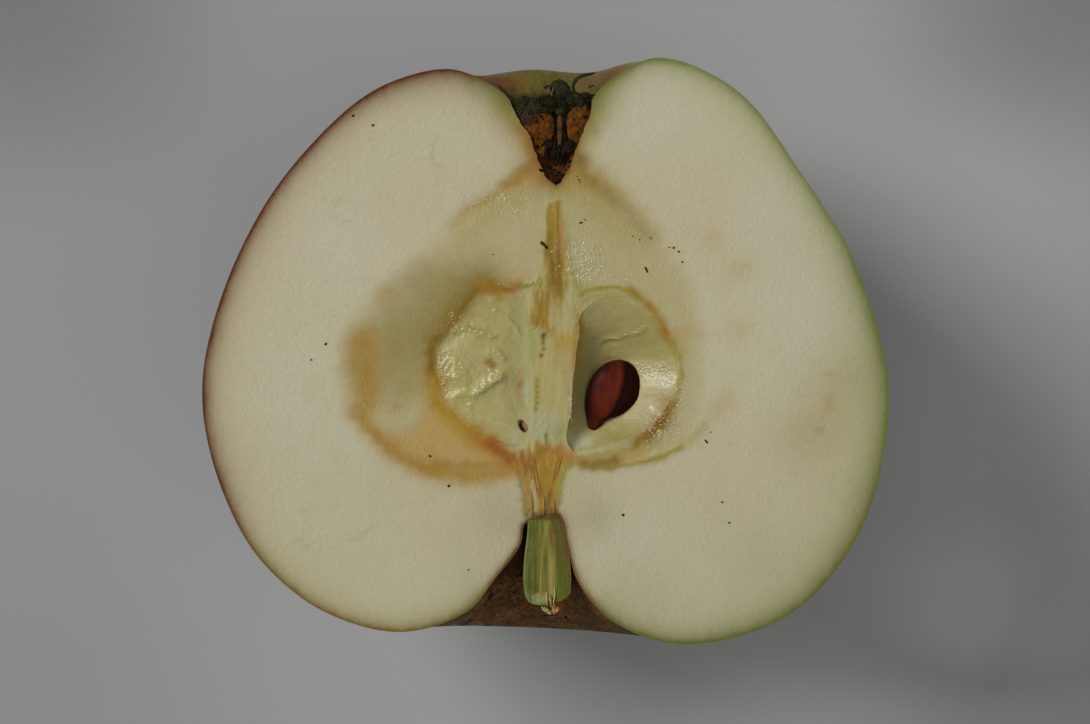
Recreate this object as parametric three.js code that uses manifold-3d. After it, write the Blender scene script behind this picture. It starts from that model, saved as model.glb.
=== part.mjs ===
// Half an apple, cut lengthwise through its stalk and its eye, lying on its skin with the cut face up.
//
// Millimetres, +Z up. On the cut face +X runs across the fruit and +Y from the stalk to the eye, the
// dried calyx. The origin is on the floor, under the middle of the fruit's box.
//
// Every piece is a row of stations along the fruit. A station gives the piece's right and left edge on
// the cut face, and a ring passes through both. So the fruit, its stalk and its seed chambers follow
// two uneven outlines, as a grown thing does. The rings make a whole body, which the knife then halves.

import * as THREE from "three";
import { mergeVertices } from "three/addons/utils/BufferGeometryUtils.js";
import Module from "manifold-3d";

const wasm = await Module();
wasm.setup();

// ---- Driving dimensions ----------------------------------------------------------------------------

const CUT_HEIGHT = 38.2; // the cut face above the floor
const FRUIT_DEPTH = 0.965; // depth of a ring against half its width
const SLAB = 120; // the knife's block, larger than the fruit

// The fruit's outline from the stalk's scar round the cheek to the bottom of the eye's funnel:
// right edge x, y and left edge x, y of each station.
const FRUIT_OUTLINE = {
  scar: [-0.2, -18.6, -0.2, -18.6],
  scarEdge: [1.7, -18.8, -2.3, -18.9],
  cavityThroat: [3.0, -23.1, -2.9, -22.2],
  cavityMouth: [4.5, -27.4, -5.4, -26.4],
  lipInside: [8.5, -31.9, -9.6, -30.6],
  lip: [16.6, -34.4, -17.2, -32.9],
  lowerShoulder: [28.6, -30.3, -27.7, -29.5],
  lowerCheek: [36.8, -21.2, -35.7, -21.2],
  widest: [40.2, -5.3, -40.2, -4.9],
  upperCheek: [36.1, 10.6, -35.7, 12.0],
  waist: [29.6, 21.3, -28.9, 22.5],
  upperShoulder: [22.5, 30.5, -20.2, 30.5],
  crown: [13.4, 34.3, -12.8, 32.7],
  basinLip: [8.9, 33.1, -8.0, 31.5],
  basinFloor: [5.4, 29.4, -4.4, 29.5],
  funnelWall: [4.4, 25.9, -2.5, 26.0],
  funnelThroat: [2.9, 21.6, -0.8, 21.8],
  funnelTip: [0.9, 19.4, 0.9, 19.4],
};
const FRUIT_SHARE = { rings: 62, sides: 76 };

// Five soft knobs round the eye. They fade out at the cut, where the outline already holds them.
const KNOBS = { count: 5, turn: 0.35, rise: 0.75, station: 12.3, reach: 2.1 };

// The stalk, cut lengthwise: from the scar to its swollen end.
const STALK_OUTLINE = {
  root: [-0.2, -18.95, -0.2, -18.95],
  rootEdge: [1.4, -19.1, -1.95, -19.2],
  neck: [2.1, -21.2, -2.15, -21.4],
  middle: [2.6, -24.4, -2.4, -24.6],
  swelling: [3.0, -27.4, -2.5, -27.8],
  endCorner: [2.4, -29.5, -1.9, -29.5],
  end: [0.3, -29.7, 0.3, -29.7],
};
const STALK_SHARE = { rings: 22, sides: 28 };
const STALK_DEPTH = 0.86;

// The torn wisp of fibre on the stalk's end.
const WISP = { from: [0.6, -29.4, -0.9], to: [1.1, -30.9, -1.0], radius: 0.55 };

// The seed chamber on the right was cut open down its middle, so it is a deep pod.
const RIGHT_CHAMBER = {
  foot: [3.3, -11.9, 3.3, -11.9],
  heel: [6.4, -11.3, 2.5, -10.6],
  belly: [12.9, -8.6, 2.7, -7.0],
  waist: [15.6, -3.2, 3.2, -3.0],
  shoulder: [15.2, 0.2, 3.6, 0.6],
  neck: [12.6, 4.9, 3.8, 4.6],
  top: [9.4, 6.9, 5.2, 6.6],
  tip: [7.2, 7.1, 7.2, 7.1],
};
// The one on the left was only grazed, so it is a wide and shallow dish.
const LEFT_CHAMBER = {
  foot: [-3.8, -11.9, -3.8, -11.9],
  heel: [-2.3, -10.4, -6.3, -11.0],
  belly: [-2.1, -7.4, -9.9, -8.4],
  waist: [-2.3, -3.4, -12.6, -4.4],
  shoulder: [-2.2, 0.6, -12.4, -0.4],
  neck: [-2.1, 4.2, -9.9, 4.4],
  top: [-3.4, 7.2, -7.6, 7.0],
  tip: [-5.2, 7.7, -5.2, 7.7],
};
const RIGHT_CHAMBER_DEPTH = 1.0;
const LEFT_CHAMBER_DEPTH = 0.34;
const CHAMBER_SHARE = { rings: 20, sides: 36 };

// The pip, a drop with one blunt keel along its back, lying slantwise on the chamber's floor.
const PIP = {
  length: 8.7,
  width: 5.7,
  thickness: 3.3,
  middle: [7.9, -5.2], // on the cut face
  top: -1.35, // its highest point against the cut face
  heading: 1.2, // from +X to its blunt end, radians
  roll: 0.16,
  rings: 18,
  sides: 20,
};

// The dried calyx: a shrivelled rim round the funnel's mouth, sepals that lie back against the basin,
// and filaments down the funnel. Angles run from +X down round the back.
const RIM = { y: 28.8, middle: 0.6, radius: 3.45, width: 1.3, thickness: 0.7, ends: 0.14 };
const SEPALS = [
  { angle: 1.22, length: 3.6, width: 3.0, lean: 2.1 },
  { angle: 0.6, length: 2.5, width: 2.0, lean: 1.2 },
  { angle: 2.35, length: 1.3, width: 2.2, lean: 0.35 },
];
const SEPAL_THICKNESS = 0.5;
const FILAMENTS = { count: 9, length: 6.2, radius: 0.24, sweep: [0.5, 2.7] };

// ---- Making solids ---------------------------------------------------------------------------------

// A geometry as a manifold-3d solid: its shared vertices merged, its faces pointing out.
function solidOf(geometry) {
  const bare = geometry.index ? geometry.toNonIndexed() : geometry.clone();
  bare.deleteAttribute("normal");
  bare.deleteAttribute("uv");
  const merged = mergeVertices(bare, 1e-4);
  return new wasm.Manifold(
    new wasm.Mesh({
      numProp: 3,
      vertProperties: merged.attributes.position.array,
      triVerts: new Uint32Array(merged.index.array),
    }),
  );
}

// A manifold-3d solid as a geometry.
function geometryOf(solid) {
  const mesh = solid.getMesh();
  const positions = new Float32Array(mesh.numVert * 3);
  for (let i = 0; i < mesh.numVert; i++) {
    positions.set(mesh.vertProperties.subarray(i * mesh.numProp, i * mesh.numProp + 3), i * 3);
  }
  const geometry = new THREE.BufferGeometry();
  geometry.setAttribute("position", new THREE.BufferAttribute(positions, 3));
  geometry.setIndex(new THREE.BufferAttribute(new Uint32Array(mesh.triVerts), 1));
  geometry.computeVertexNormals();
  return geometry;
}

// A closed body from rings(along, around): along runs 0 to 1 between two poles, around 0 to 1 round a
// ring. Where the rings run the other way round, its faces are turned to point out.
function ringBody(point, { rings, sides }) {
  const positions = [];
  const indices = [];
  const pole = (along) => positions.push(...point(along, 0).toArray()) / 3 - 1;
  const first = pole(0);
  for (let i = 1; i < rings; i++) {
    for (let j = 0; j < sides; j++) positions.push(...point(i / rings, j / sides).toArray());
  }
  const last = pole(1);
  const at = (i, j) => 1 + (i - 1) * sides + (j % sides);
  for (let j = 0; j < sides; j++) {
    indices.push(first, at(1, j + 1), at(1, j));
    for (let i = 1; i < rings - 1; i++) {
      indices.push(at(i, j), at(i, j + 1), at(i + 1, j + 1));
      indices.push(at(i, j), at(i + 1, j + 1), at(i + 1, j));
    }
    indices.push(last, at(rings - 1, j), at(rings - 1, j + 1));
  }
  if (signedVolume(positions, indices) < 0) indices.reverse();
  const geometry = new THREE.BufferGeometry();
  geometry.setAttribute("position", new THREE.Float32BufferAttribute(positions, 3));
  geometry.setIndex(indices);
  return solidOf(geometry);
}

function signedVolume(positions, indices) {
  const corner = (k) => new THREE.Vector3().fromArray(positions, indices[k] * 3);
  let sum = 0;
  for (let k = 0; k < indices.length; k += 3) {
    sum += corner(k).dot(corner(k + 1).cross(corner(k + 2)));
  }
  return sum;
}

// The right and left edges of an outline as smooth curves through its stations, on the cut face.
function edgesOf(outline) {
  const stations = Object.values(outline);
  const curve = (k) =>
    new THREE.CatmullRomCurve3(
      stations.map((s) => new THREE.Vector3(s[k], s[k + 1], CUT_HEIGHT)),
      false,
      "centripetal",
    );
  return { right: curve(0), left: curve(2), count: stations.length };
}

// The body between an outline's two edges. Its rings stand upright on the line from edge to edge, and
// depth is how deep they are against half that line. shape(angle, station) may add to a point's radius.
function bodyBetween(outline, depth, share, shape) {
  const { right, left, count } = edgesOf(outline);
  return ringBody((along, around) => {
    const a = right.getPoint(along);
    const b = left.getPoint(along);
    const middle = a.clone().add(b).multiplyScalar(0.5);
    const reach = a.clone().sub(b).multiplyScalar(0.5);
    const angle = around * Math.PI * 2;
    const p = middle.addScaledVector(reach, Math.cos(angle));
    p.z -= Math.sin(angle) * reach.length() * depth;
    if (shape) p.y += shape(angle, along * (count - 1));
    return p;
  }, share);
}

// A rounded strip along a curve: width(t) across, thickness(t) through, with `across` its wide direction.
function strip(points, width, thickness, across, share) {
  const curve = new THREE.CatmullRomCurve3(points);
  const wide = across.clone().normalize();
  return ringBody((along, around) => {
    const tangent = curve.getTangent(along);
    const side = wide.clone().addScaledVector(tangent, -wide.dot(tangent)).normalize();
    const up = new THREE.Vector3().crossVectors(side, tangent);
    const round = Math.sqrt(Math.max(0, 1 - (2 * along - 1) ** 6));
    const angle = around * Math.PI * 2;
    return curve
      .getPoint(along)
      .addScaledVector(side, (Math.cos(angle) * round * width(along)) / 2)
      .addScaledVector(up, (Math.sin(angle) * round * thickness(along)) / 2);
  }, share);
}

function block(x0, y0, z0, x1, y1, z1) {
  const geometry = new THREE.BoxGeometry(x1 - x0, y1 - y0, z1 - z0);
  geometry.translate((x0 + x1) / 2, (y0 + y1) / 2, (z0 + z1) / 2);
  return solidOf(geometry);
}

const knife = block(-SLAB, -SLAB, CUT_HEIGHT, SLAB, SLAB, SLAB);
const floor = block(-SLAB, -SLAB, -SLAB, SLAB, SLAB, 0);

// ---- The fruit: flesh, skin and core in one solid ----------------------------------------------------

function knob(angle, station) {
  const bell = Math.exp(-(((station - KNOBS.station) / KNOBS.reach) ** 2));
  return KNOBS.rise * bell * Math.sin(angle) * Math.cos(KNOBS.count * angle + KNOBS.turn);
}

function fruit() {
  return bodyBetween(FRUIT_OUTLINE, FRUIT_DEPTH, FRUIT_SHARE, knob)
    .subtract(knife)
    .subtract(floor)
    .subtract(bodyBetween(RIGHT_CHAMBER, RIGHT_CHAMBER_DEPTH, CHAMBER_SHARE))
    .subtract(bodyBetween(LEFT_CHAMBER, LEFT_CHAMBER_DEPTH, CHAMBER_SHARE));
}

// ---- The stalk, halved by the same cut ---------------------------------------------------------------

function stalk() {
  const place = ([x, y, z]) => new THREE.Vector3(x, y, CUT_HEIGHT + z);
  const wisp = strip(
    [place(WISP.from), place(WISP.to)],
    () => 2.4 * WISP.radius,
    () => 1.4 * WISP.radius,
    new THREE.Vector3(1, 0, 0),
    { rings: 6, sides: 8 },
  );
  return bodyBetween(STALK_OUTLINE, STALK_DEPTH, STALK_SHARE).subtract(knife).add(wisp);
}

// ---- The pip -----------------------------------------------------------------------------------------

// The pip's breadth along its length, as a share of its widest: pointed at 0, blunt at 1.
const dropShape = (t) => 2.19 * t ** 0.66 * (1 - t) ** 0.48;

function pip() {
  const body = ringBody((along, around) => {
    const angle = around * Math.PI * 2;
    const half = dropShape(along);
    const keel = 1 + 0.1 * Math.max(0, Math.cos(angle - Math.PI / 2 + 0.35)) ** 6;
    return new THREE.Vector3(
      (along - 0.5) * PIP.length,
      (Math.cos(angle) * half * PIP.width) / 2,
      (Math.sin(angle) * half * keel * PIP.thickness) / 2,
    );
  }, PIP);
  const turned = geometryOf(body);
  turned.rotateX(PIP.roll);
  turned.rotateZ(PIP.heading);
  turned.computeBoundingBox();
  turned.translate(PIP.middle[0], PIP.middle[1], CUT_HEIGHT + PIP.top - turned.boundingBox.max.z);
  return solidOf(turned);
}

// ---- The dried calyx -----------------------------------------------------------------------------------

// A point at an angle round the funnel's mouth, radius from its middle.
function onRim(angle, radius, y) {
  return new THREE.Vector3(
    RIM.middle + radius * Math.cos(angle),
    y,
    CUT_HEIGHT - radius * Math.sin(angle) * FRUIT_DEPTH,
  );
}

function shrivelledRim() {
  const points = 9;
  const path = Array.from({ length: points }, (_, i) =>
    onRim(RIM.ends + (i / (points - 1)) * (Math.PI - 2 * RIM.ends), RIM.radius, RIM.y),
  );
  const along = new THREE.Vector3(0, 1, 0);
  return strip(path, () => RIM.width, () => RIM.thickness, along, { rings: 20, sides: 8 });
}

function sepal({ angle, length, width, lean }) {
  const path = [
    onRim(angle, RIM.radius, RIM.y - 0.3),
    onRim(angle, RIM.radius + lean * 0.36, RIM.y + length * 0.5),
    onRim(angle, RIM.radius + lean, RIM.y + length),
  ];
  const across = new THREE.Vector3(Math.sin(angle), 0, Math.cos(angle));
  const taper = (t) => width * (1 - 0.75 * t * t);
  return strip(path, taper, () => SEPAL_THICKNESS, across, { rings: 9, sides: 8 });
}

function filament(i) {
  const [from, to] = FILAMENTS.sweep;
  const angle = from + ((to - from) * i) / (FILAMENTS.count - 1);
  const length = FILAMENTS.length * (0.72 + 0.28 * Math.sin(2.4 * i + 0.8));
  const inwards = 1 - length / 11; // the funnel narrows towards its tip
  const path = [
    onRim(angle, RIM.radius, RIM.y + 0.1),
    onRim(angle, RIM.radius * 0.72, RIM.y - length * 0.3),
    onRim(angle + 0.12 * Math.sin(5 * i), RIM.radius * inwards * 0.55, RIM.y - length),
  ];
  const thick = () => FILAMENTS.radius * 2;
  return strip(path, thick, thick, new THREE.Vector3(0, 0, 1), { rings: 7, sides: 5 });
}

function calyx() {
  let solid = shrivelledRim();
  for (const shape of SEPALS) solid = solid.add(sepal(shape));
  for (let i = 0; i < FILAMENTS.count; i++) solid = solid.add(filament(i));
  return solid.subtract(knife);
}

// ---- The scene graph -------------------------------------------------------------------------------------

function piece(name, solid, color, roughness) {
  const material = new THREE.MeshStandardMaterial({ color, roughness, metalness: 0 });
  const mesh = new THREE.Mesh(geometryOf(solid), material);
  mesh.name = name;
  return mesh;
}

const appleHalf = new THREE.Group();
appleHalf.add(
  piece("fruit", fruit(), 0xd9d2b0, 0.55),
  piece("stalk", stalk(), 0x7f8a4c, 0.6),
  piece("pip", pip(), 0x4a1a14, 0.25),
  piece("calyx", calyx(), 0x3a342a, 0.9),
);

export default appleHalf;
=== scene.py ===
import math
import random

import bmesh
import bpy
import numpy as np
from mathutils import Matrix, Vector, kdtree, noise


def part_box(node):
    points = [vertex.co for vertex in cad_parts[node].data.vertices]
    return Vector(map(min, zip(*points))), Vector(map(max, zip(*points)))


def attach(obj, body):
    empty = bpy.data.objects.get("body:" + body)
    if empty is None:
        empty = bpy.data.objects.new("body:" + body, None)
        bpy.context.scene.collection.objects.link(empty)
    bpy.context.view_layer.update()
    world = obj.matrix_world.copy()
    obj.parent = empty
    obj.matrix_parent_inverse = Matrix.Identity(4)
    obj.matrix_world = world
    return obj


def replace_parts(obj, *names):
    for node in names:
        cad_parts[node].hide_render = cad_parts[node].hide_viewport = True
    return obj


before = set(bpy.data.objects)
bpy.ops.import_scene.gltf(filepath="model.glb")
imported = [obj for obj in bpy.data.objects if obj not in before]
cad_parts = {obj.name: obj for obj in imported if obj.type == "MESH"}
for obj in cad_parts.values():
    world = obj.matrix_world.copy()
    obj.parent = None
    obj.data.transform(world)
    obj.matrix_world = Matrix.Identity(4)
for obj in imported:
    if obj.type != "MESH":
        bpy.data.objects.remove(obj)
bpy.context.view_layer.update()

# ---- The room ------------------------------------------------------------------------------
# A pale matt board, a wide soft window on its left and light from the whole room. The camera
# looks straight down on the cut face. Sizes are in millimetres, and a mesh is scaled at the end.

MM = 0.001
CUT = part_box("fruit")[1].z / MM  # height of the cut face
VIEW_WIDTH = 127.5  # what the camera sees across the cut face
CAMERA_RISE = 400  # from the cut face up to the lens
CAMERA_SPOT = (-0.06, -1.3)
BOARD_SIZE = 4000
LAMP_AIM = (0, 0, 20)


def hue(red, green, blue):
    """A colour from its parts as a screen shows them, 0 to 255."""

    def linear(part):
        share = part / 255
        return share / 12.92 if share <= 0.04045 else ((share + 0.055) / 1.055) ** 2.4

    return (linear(red), linear(green), linear(blue), 1)


class Tone:
    """A number or colour that varies over a surface. Sums with it add Math nodes."""

    def __init__(self, finish, socket):
        self.finish = finish
        self.socket = socket

    def maths(self, operation, *terms):
        return self.finish.node("Math", {"operation": operation}, dict(enumerate(terms)))

    def __add__(self, other):
        return self.maths("ADD", self, other)

    __radd__ = __add__

    def __sub__(self, other):
        return self.maths("SUBTRACT", self, other)

    def __rsub__(self, other):
        return self.maths("SUBTRACT", other, self)

    def __mul__(self, other):
        return self.maths("MULTIPLY", self, other)

    __rmul__ = __mul__

    def __truediv__(self, other):
        return self.maths("DIVIDE", self, other)

    def __pow__(self, other):
        return self.maths("POWER", self, other)

    def __abs__(self):
        return self.maths("ABSOLUTE", self)

    def rise(self, low, high):
        """0 up to low, 1 from high on, and smooth between them."""
        inputs = {"Value": self, "From Min": low, "From Max": high}
        return self.finish.node("MapRange", {"interpolation_type": "SMOOTHSTEP"}, inputs)

    def fade(self):
        """1 at 0 and below, and falling smoothly to about a third at 1."""
        return self.finish.node("Clamp", {}, {0: self.maths("EXPONENT", self * -1)})


class Finish:
    """A material on one Principled shader. Its constants sit on the shader's own sockets."""

    def __init__(self, name, **constants):
        self.material = bpy.data.materials.new(name)
        self.material.use_nodes = True
        self.tree = self.material.node_tree
        self.shader = self.tree.nodes["Principled BSDF"]
        for socket, value in constants.items():
            self.shader.inputs[socket.replace("_", " ")].default_value = value
        self.spot = self.node("TexCoord", {}, {}, "Object")

    def node(self, kind, settings, inputs, output=0):
        made = self.tree.nodes.new("ShaderNode" + kind)
        for setting, value in settings.items():
            setattr(made, setting, value)
        for socket, value in inputs.items():
            self.feed(made.inputs[socket], value)
        return Tone(self, made.outputs[output])

    def feed(self, socket, value):
        if isinstance(value, Tone):
            self.tree.links.new(value.socket, socket)
        else:
            socket.default_value = value

    def show(self, **tones):
        for socket, tone in tones.items():
            self.feed(self.shader.inputs[socket.replace("_", " ")], tone)

    def mm(self, count):
        """The first `count` of X, Y and Z, in mm."""
        return (self.node("SeparateXYZ", {}, {0: self.spot}, k) / MM for k in range(count))

    def field(self, name):
        """A number that the mesh keeps at its vertices."""
        return self.node("Attribute", {"attribute_name": name}, {}, "Fac")

    def mottle(self, size, stretch=(1, 1, 1), detail=2.0, start=None):
        """Noise from about -1 to 1, with blots about `size` mm across."""
        turned = self.node("Mapping", {}, {"Vector": start or self.spot, "Scale": stretch})
        inputs = {"Vector": turned, "Scale": 1 / (size * MM), "Detail": detail}
        return (self.node("TexNoise", {}, inputs, "Fac") - 0.5) * 4

    def cells(self, size, stretch=(1, 1, 1), start=None):
        """Distance from the middle of the nearest cell, 0 to about 1, cells `size` mm across."""
        turned = self.node("Mapping", {}, {"Vector": start or self.spot, "Scale": stretch})
        inputs = {"Vector": turned, "Scale": 1 / (size * MM)}
        return self.node("TexVoronoi", {}, inputs, "Distance")

    def layer(self, under, over, amount):
        inputs = {0: amount, 6: under, 7: over}
        return self.node("Mix", {"data_type": "RGBA"}, inputs, 2)

    def maximum(self, one, other):
        return self.node("Math", {"operation": "MAXIMUM"}, {0: one, 1: other})

    def bump(self, height, strength=1.0):
        """Fine relief, with its height in mm."""
        inputs = {"Strength": strength, "Distance": MM, "Height": height}
        return self.node("Bump", {}, inputs, "Normal")


board_finish = Finish("pale_board", Roughness=0.7, Specular_IOR_Level=0.2)
across, down = board_finish.mm(2)
# Painted shade darkens the board towards its edges, towards its left side and into its corners.
from_middle = (((across - 10) / 105) ** 2 + (down / 80) ** 2).rise(0, 1.2)
board_tone = board_finish.layer(hue(185, 185, 187), hue(168, 168, 170), from_middle)
board_tone = board_finish.layer(hue(168, 168, 169), board_tone, across.rise(-78, -8))
board_tone = board_finish.layer(board_tone, hue(178, 178, 180), board_finish.mottle(0.8) * 0.12 + 0.12)
far_out = ((across**2 + down**2) ** 0.5).rise(85, 140)
corner = (abs(across) / 64).rise(0.5, 1.05) * (abs(down) / 43).rise(0.3, 1.05)
corner = corner * (1 - (1 - across.rise(-50, -20)) * (1 - down.rise(-30, -5)) * 0.8)
board_tone = board_finish.layer(board_tone, hue(118, 118, 119), corner * (1 - far_out) * 0.6)
# Painted light: pale pools on the board to the right of and below the fruit lighten its shadow there.
right_glare = (((across - 54) / 13) ** 2).fade() * (1 - down.rise(-30, -18) * 0.55)
right_glare = right_glare * down.rise(-50, -34) * (1 - down.rise(8, 40))
lower_glare = (((across - 38) / 26) ** 2 + ((down + 46) / 9) ** 2).fade() * 0.9
glare = board_finish.maximum(right_glare, lower_glare)
board_tone = board_finish.layer(board_tone, hue(208, 208, 210), glare * (1 - far_out))
dust = 1 - (board_finish.cells(19.0) + board_finish.mottle(0.3) * 0.002).rise(0.008, 0.014)
board_finish.show(Base_Color=board_finish.layer(board_tone, hue(138, 138, 138), dust * 0.7))
board_mesh = bmesh.new()
bmesh.ops.create_grid(board_mesh, x_segments=1, y_segments=1, size=BOARD_SIZE * MM / 2)
board_data = bpy.data.meshes.new("board")
board_mesh.to_mesh(board_data)
board_mesh.free()
board_data.materials.append(board_finish.material)
board = bpy.data.objects.new("board", board_data)
bpy.context.collection.objects.link(board)


def lamp(name, spot, size, power):
    """A square soft lamp at a spot in mm, turned to the fruit."""
    light = bpy.data.lights.new(name, "AREA")
    light.size = size * MM
    light.energy = power
    holder = bpy.data.objects.new(name, light)
    holder.location = Vector(spot) * MM
    holder.rotation_euler = (Vector(spot) - Vector(LAMP_AIM)).to_track_quat("Z", "Y").to_euler()
    bpy.context.collection.objects.link(holder)


lamp("window", spot=(-1500, 870, 1500), size=1035, power=32)
lamp("room", spot=(300, -500, 1300), size=1100, power=3.0)

room = bpy.data.worlds.new("room")
room.use_nodes = True
room.node_tree.nodes["Background"].inputs["Color"].default_value = (1.0, 0.985, 0.96, 1)
room.node_tree.nodes["Background"].inputs["Strength"].default_value = 0.15
bpy.context.scene.world = room
bpy.context.scene.view_settings.view_transform = "Standard"

lens = bpy.data.cameras.new("camera")
lens.lens = lens.sensor_width * CAMERA_RISE / VIEW_WIDTH
camera = bpy.data.objects.new("camera", lens)
camera.location = Vector((*CAMERA_SPOT, CUT + CAMERA_RISE)) * MM
bpy.context.collection.objects.link(camera)
bpy.context.scene.camera = camera

# ---- The fruit's body ------------------------------------------------------------------------
# Flesh under a thin waxy skin. The fruit is grown from stations along two uneven outlines on the
# cut face, from the stalk's scar round the cheek and the eye's basin to the funnel's tip.

# Right edge x, y and left edge x, y of each station.
FRUIT_OUTLINE = {
    "scar": (-0.2, -19.25, -0.2, -19.25),
    "scar edge": (1.6, -19.35, -2.4, -20.25),
    "cavity throat": (2.45, -22.2, -2.95, -22.7),
    "cavity mouth": (3.8, -27.0, -5.8, -26.5),
    "lip inside": (8.2, -31.9, -9.1, -30.45),
    "lip": (16.6, -34.4, -17.2, -32.9),
    "lower shoulder": (28.9, -30.6, -27.7, -29.5),
    "lower cheek": (36.8, -21.2, -35.7, -21.2),
    "widest": (40.2, -5.3, -40.2, -4.9),
    "upper cheek": (36.1, 10.6, -35.7, 12.0),
    "waist": (29.6, 21.3, -28.9, 22.5),
    "upper shoulder": (22.5, 30.5, -20.2, 30.5),
    "crown": (13.4, 34.3, -11.6, 33.0),
    "basin lip": (9.2, 32.8, -7.2, 31.6),
    "basin floor": (5.6, 29.6, -4.4, 29.6),
    "funnel mouth": (5.3, 27.9, -3.75, 28.2),
    "funnel wall": (4.3, 25.3, -2.1, 25.4),
    "funnel throat": (3.1, 22.0, -0.85, 22.2),
    "funnel bottom": (2.0, 19.95, 0.45, 19.95),
    "funnel tip": (1.25, 19.35, 1.25, 19.35),
}
FRUIT_DEPTH = 0.965  # of a ring against half its width
KNOBS = {"count": 5, "turn": 3.45, "rise": 0.45, "station": 12.8, "reach": 2.1}
SKIN_RINGS, SKIN_SIDES = 216, 208
EYE_X = 0.6  # the eye's middle
FUNNEL_TOP = 29.3  # where the skin ends and the funnel's own lining starts
FUNNEL_FOOT, FUNNEL_REACH = 19, 5.6  # its lower end, and how far it reaches from its middle
RAGGED_FROM, RAGGED_TO = 14.6, 19  # the stations where the funnel's edge is torn
SLOTS = range(4)
SKIN_SLOT, FLESH_SLOT, LINING_SLOT, FUNNEL_SLOT = SLOTS


def curve_through(points, stations):
    """The smooth curve through points, at station numbers that count the points from 0."""
    p = np.array(points, float)
    p = np.vstack([2 * p[0] - p[1], p, 2 * p[-1] - p[-2]])
    at = np.clip(stations, 0, len(points) - 1 - 1e-9)
    i = at.astype(int)
    t = (at - i)[:, None]
    a, b, c, d = p[i], p[i + 1], p[i + 2], p[i + 3]

    def gap(u, v):
        return np.maximum(np.linalg.norm(v - u, axis=1)[:, None] ** 0.5, 1e-4)

    ab, bc, cd = gap(a, b), gap(b, c), gap(c, d)
    leave = ((b - a) / ab - (c - a) / (ab + bc) + (c - b) / bc) * bc
    reach = ((c - b) / bc - (d - b) / (bc + cd) + (d - c) / cd) * bc
    bend, twist = -3 * b + 3 * c - 2 * leave - reach, 2 * b - 2 * c + leave + reach
    return b + leave * t + bend * t**2 + twist * t**3


def ring_body(rings, sides, place):
    """A closed body from a ball's rings, in mm. place(along, around) gives its points: along
    runs 0 to 1 from pole to pole, and around is the angle on a ring."""
    made = bmesh.new()
    bmesh.ops.create_uvsphere(made, u_segments=sides, v_segments=rings, radius=1)
    ball = np.array([v.co for v in made.verts])
    along = np.arccos(np.clip(ball[:, 2], -1, 1)) / math.pi
    around = np.arctan2(ball[:, 1], ball[:, 0])
    for vertex, spot in zip(made.verts, place(along, around)):
        vertex.co = spot
    made.normal_update()
    if made.calc_volume(signed=True) < 0:
        bmesh.ops.reverse_faces(made, faces=made.faces)
    return made


def between_edges(outline, depth):
    """The place of rings that stand on the lines between an outline's right and left edge."""
    stations = np.array(list(outline.values()))

    def place(along, around):
        right = curve_through(stations[:, :2], along * (len(stations) - 1))
        left = curve_through(stations[:, 2:], along * (len(stations) - 1))
        middle, reach = (right + left) / 2, (right - left) / 2
        flat = middle + reach * np.cos(around)[:, None]
        drop = np.sin(around) * np.linalg.norm(reach, axis=1) * depth
        return np.column_stack([flat, CUT - drop])

    return place


def ripple(spots, size, seed=0):
    """Smooth noise from about -1 to 1 at spots in mm, in waves of about `size` mm."""
    shift = Vector((seed * 7.3, seed * 3.1, seed * 5.7))
    return np.array([noise.noise(Vector(spot) / size + shift) for spot in spots])


def grown_skin(along, around):
    """The fruit's surface, with soft knobs round the eye and the slight dents of growth."""
    spots = between_edges(FRUIT_OUTLINE, FRUIT_DEPTH)(along, around)
    station = along * (len(FRUIT_OUTLINE) - 1)
    bell = np.exp(-(((station - KNOBS["station"]) / KNOBS["reach"]) ** 2))
    wave = np.sin(around) * np.cos(KNOBS["count"] * around + KNOBS["turn"])
    spots[:, 1] += KNOBS["rise"] * bell * wave
    inwards = spots - np.array([0, 0, CUT])
    cheek = np.clip(np.abs(inwards[:, 0]) / 20, 0, 1)
    ragged = np.clip((station - RAGGED_FROM) / 1.2, 0, 1) * np.clip((RAGGED_TO - station) / 0.5, 0, 1)
    spots[:, 0] += 0.26 * ragged * ripple(spots, 1.1, seed=8) + 0.14 * ragged * ripple(spots, 0.45, seed=9)
    dents = 0.0035 * ripple(spots, 13.0) + 0.0012 * ripple(spots, 4.0, seed=1)
    return spots + inwards * (dents * cheek - 0.0015 * cheek)[:, None]


def temporary(name, made, slot):
    """A bmesh in mm as an object for cutting, with all faces in one slot."""
    for face in made.faces:
        face.material_index = slot
    mesh = bpy.data.meshes.new(name)
    made.to_mesh(mesh)
    made.free()
    for _ in SLOTS:
        mesh.materials.append(None)
    thing = bpy.data.objects.new(name, mesh)
    bpy.context.collection.objects.link(thing)
    return thing


body = ring_body(SKIN_RINGS, SKIN_SIDES, grown_skin)
whole_fruit = temporary("whole_fruit", body, SKIN_SLOT)
for polygon in whole_fruit.data.polygons:
    x, y, z = polygon.center
    if FUNNEL_FOOT < y < FUNNEL_TOP and math.hypot(x - EYE_X, z - CUT) < FUNNEL_REACH:
        polygon.material_index = FUNNEL_SLOT

# ---- The cut face ------------------------------------------------------------------------------
# What the knife laid open: the core line, browned tissue, the core's middle column and the fibres
# that run on to the stalk. Each is a line or a patch through a few points, x and y in mm.


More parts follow.
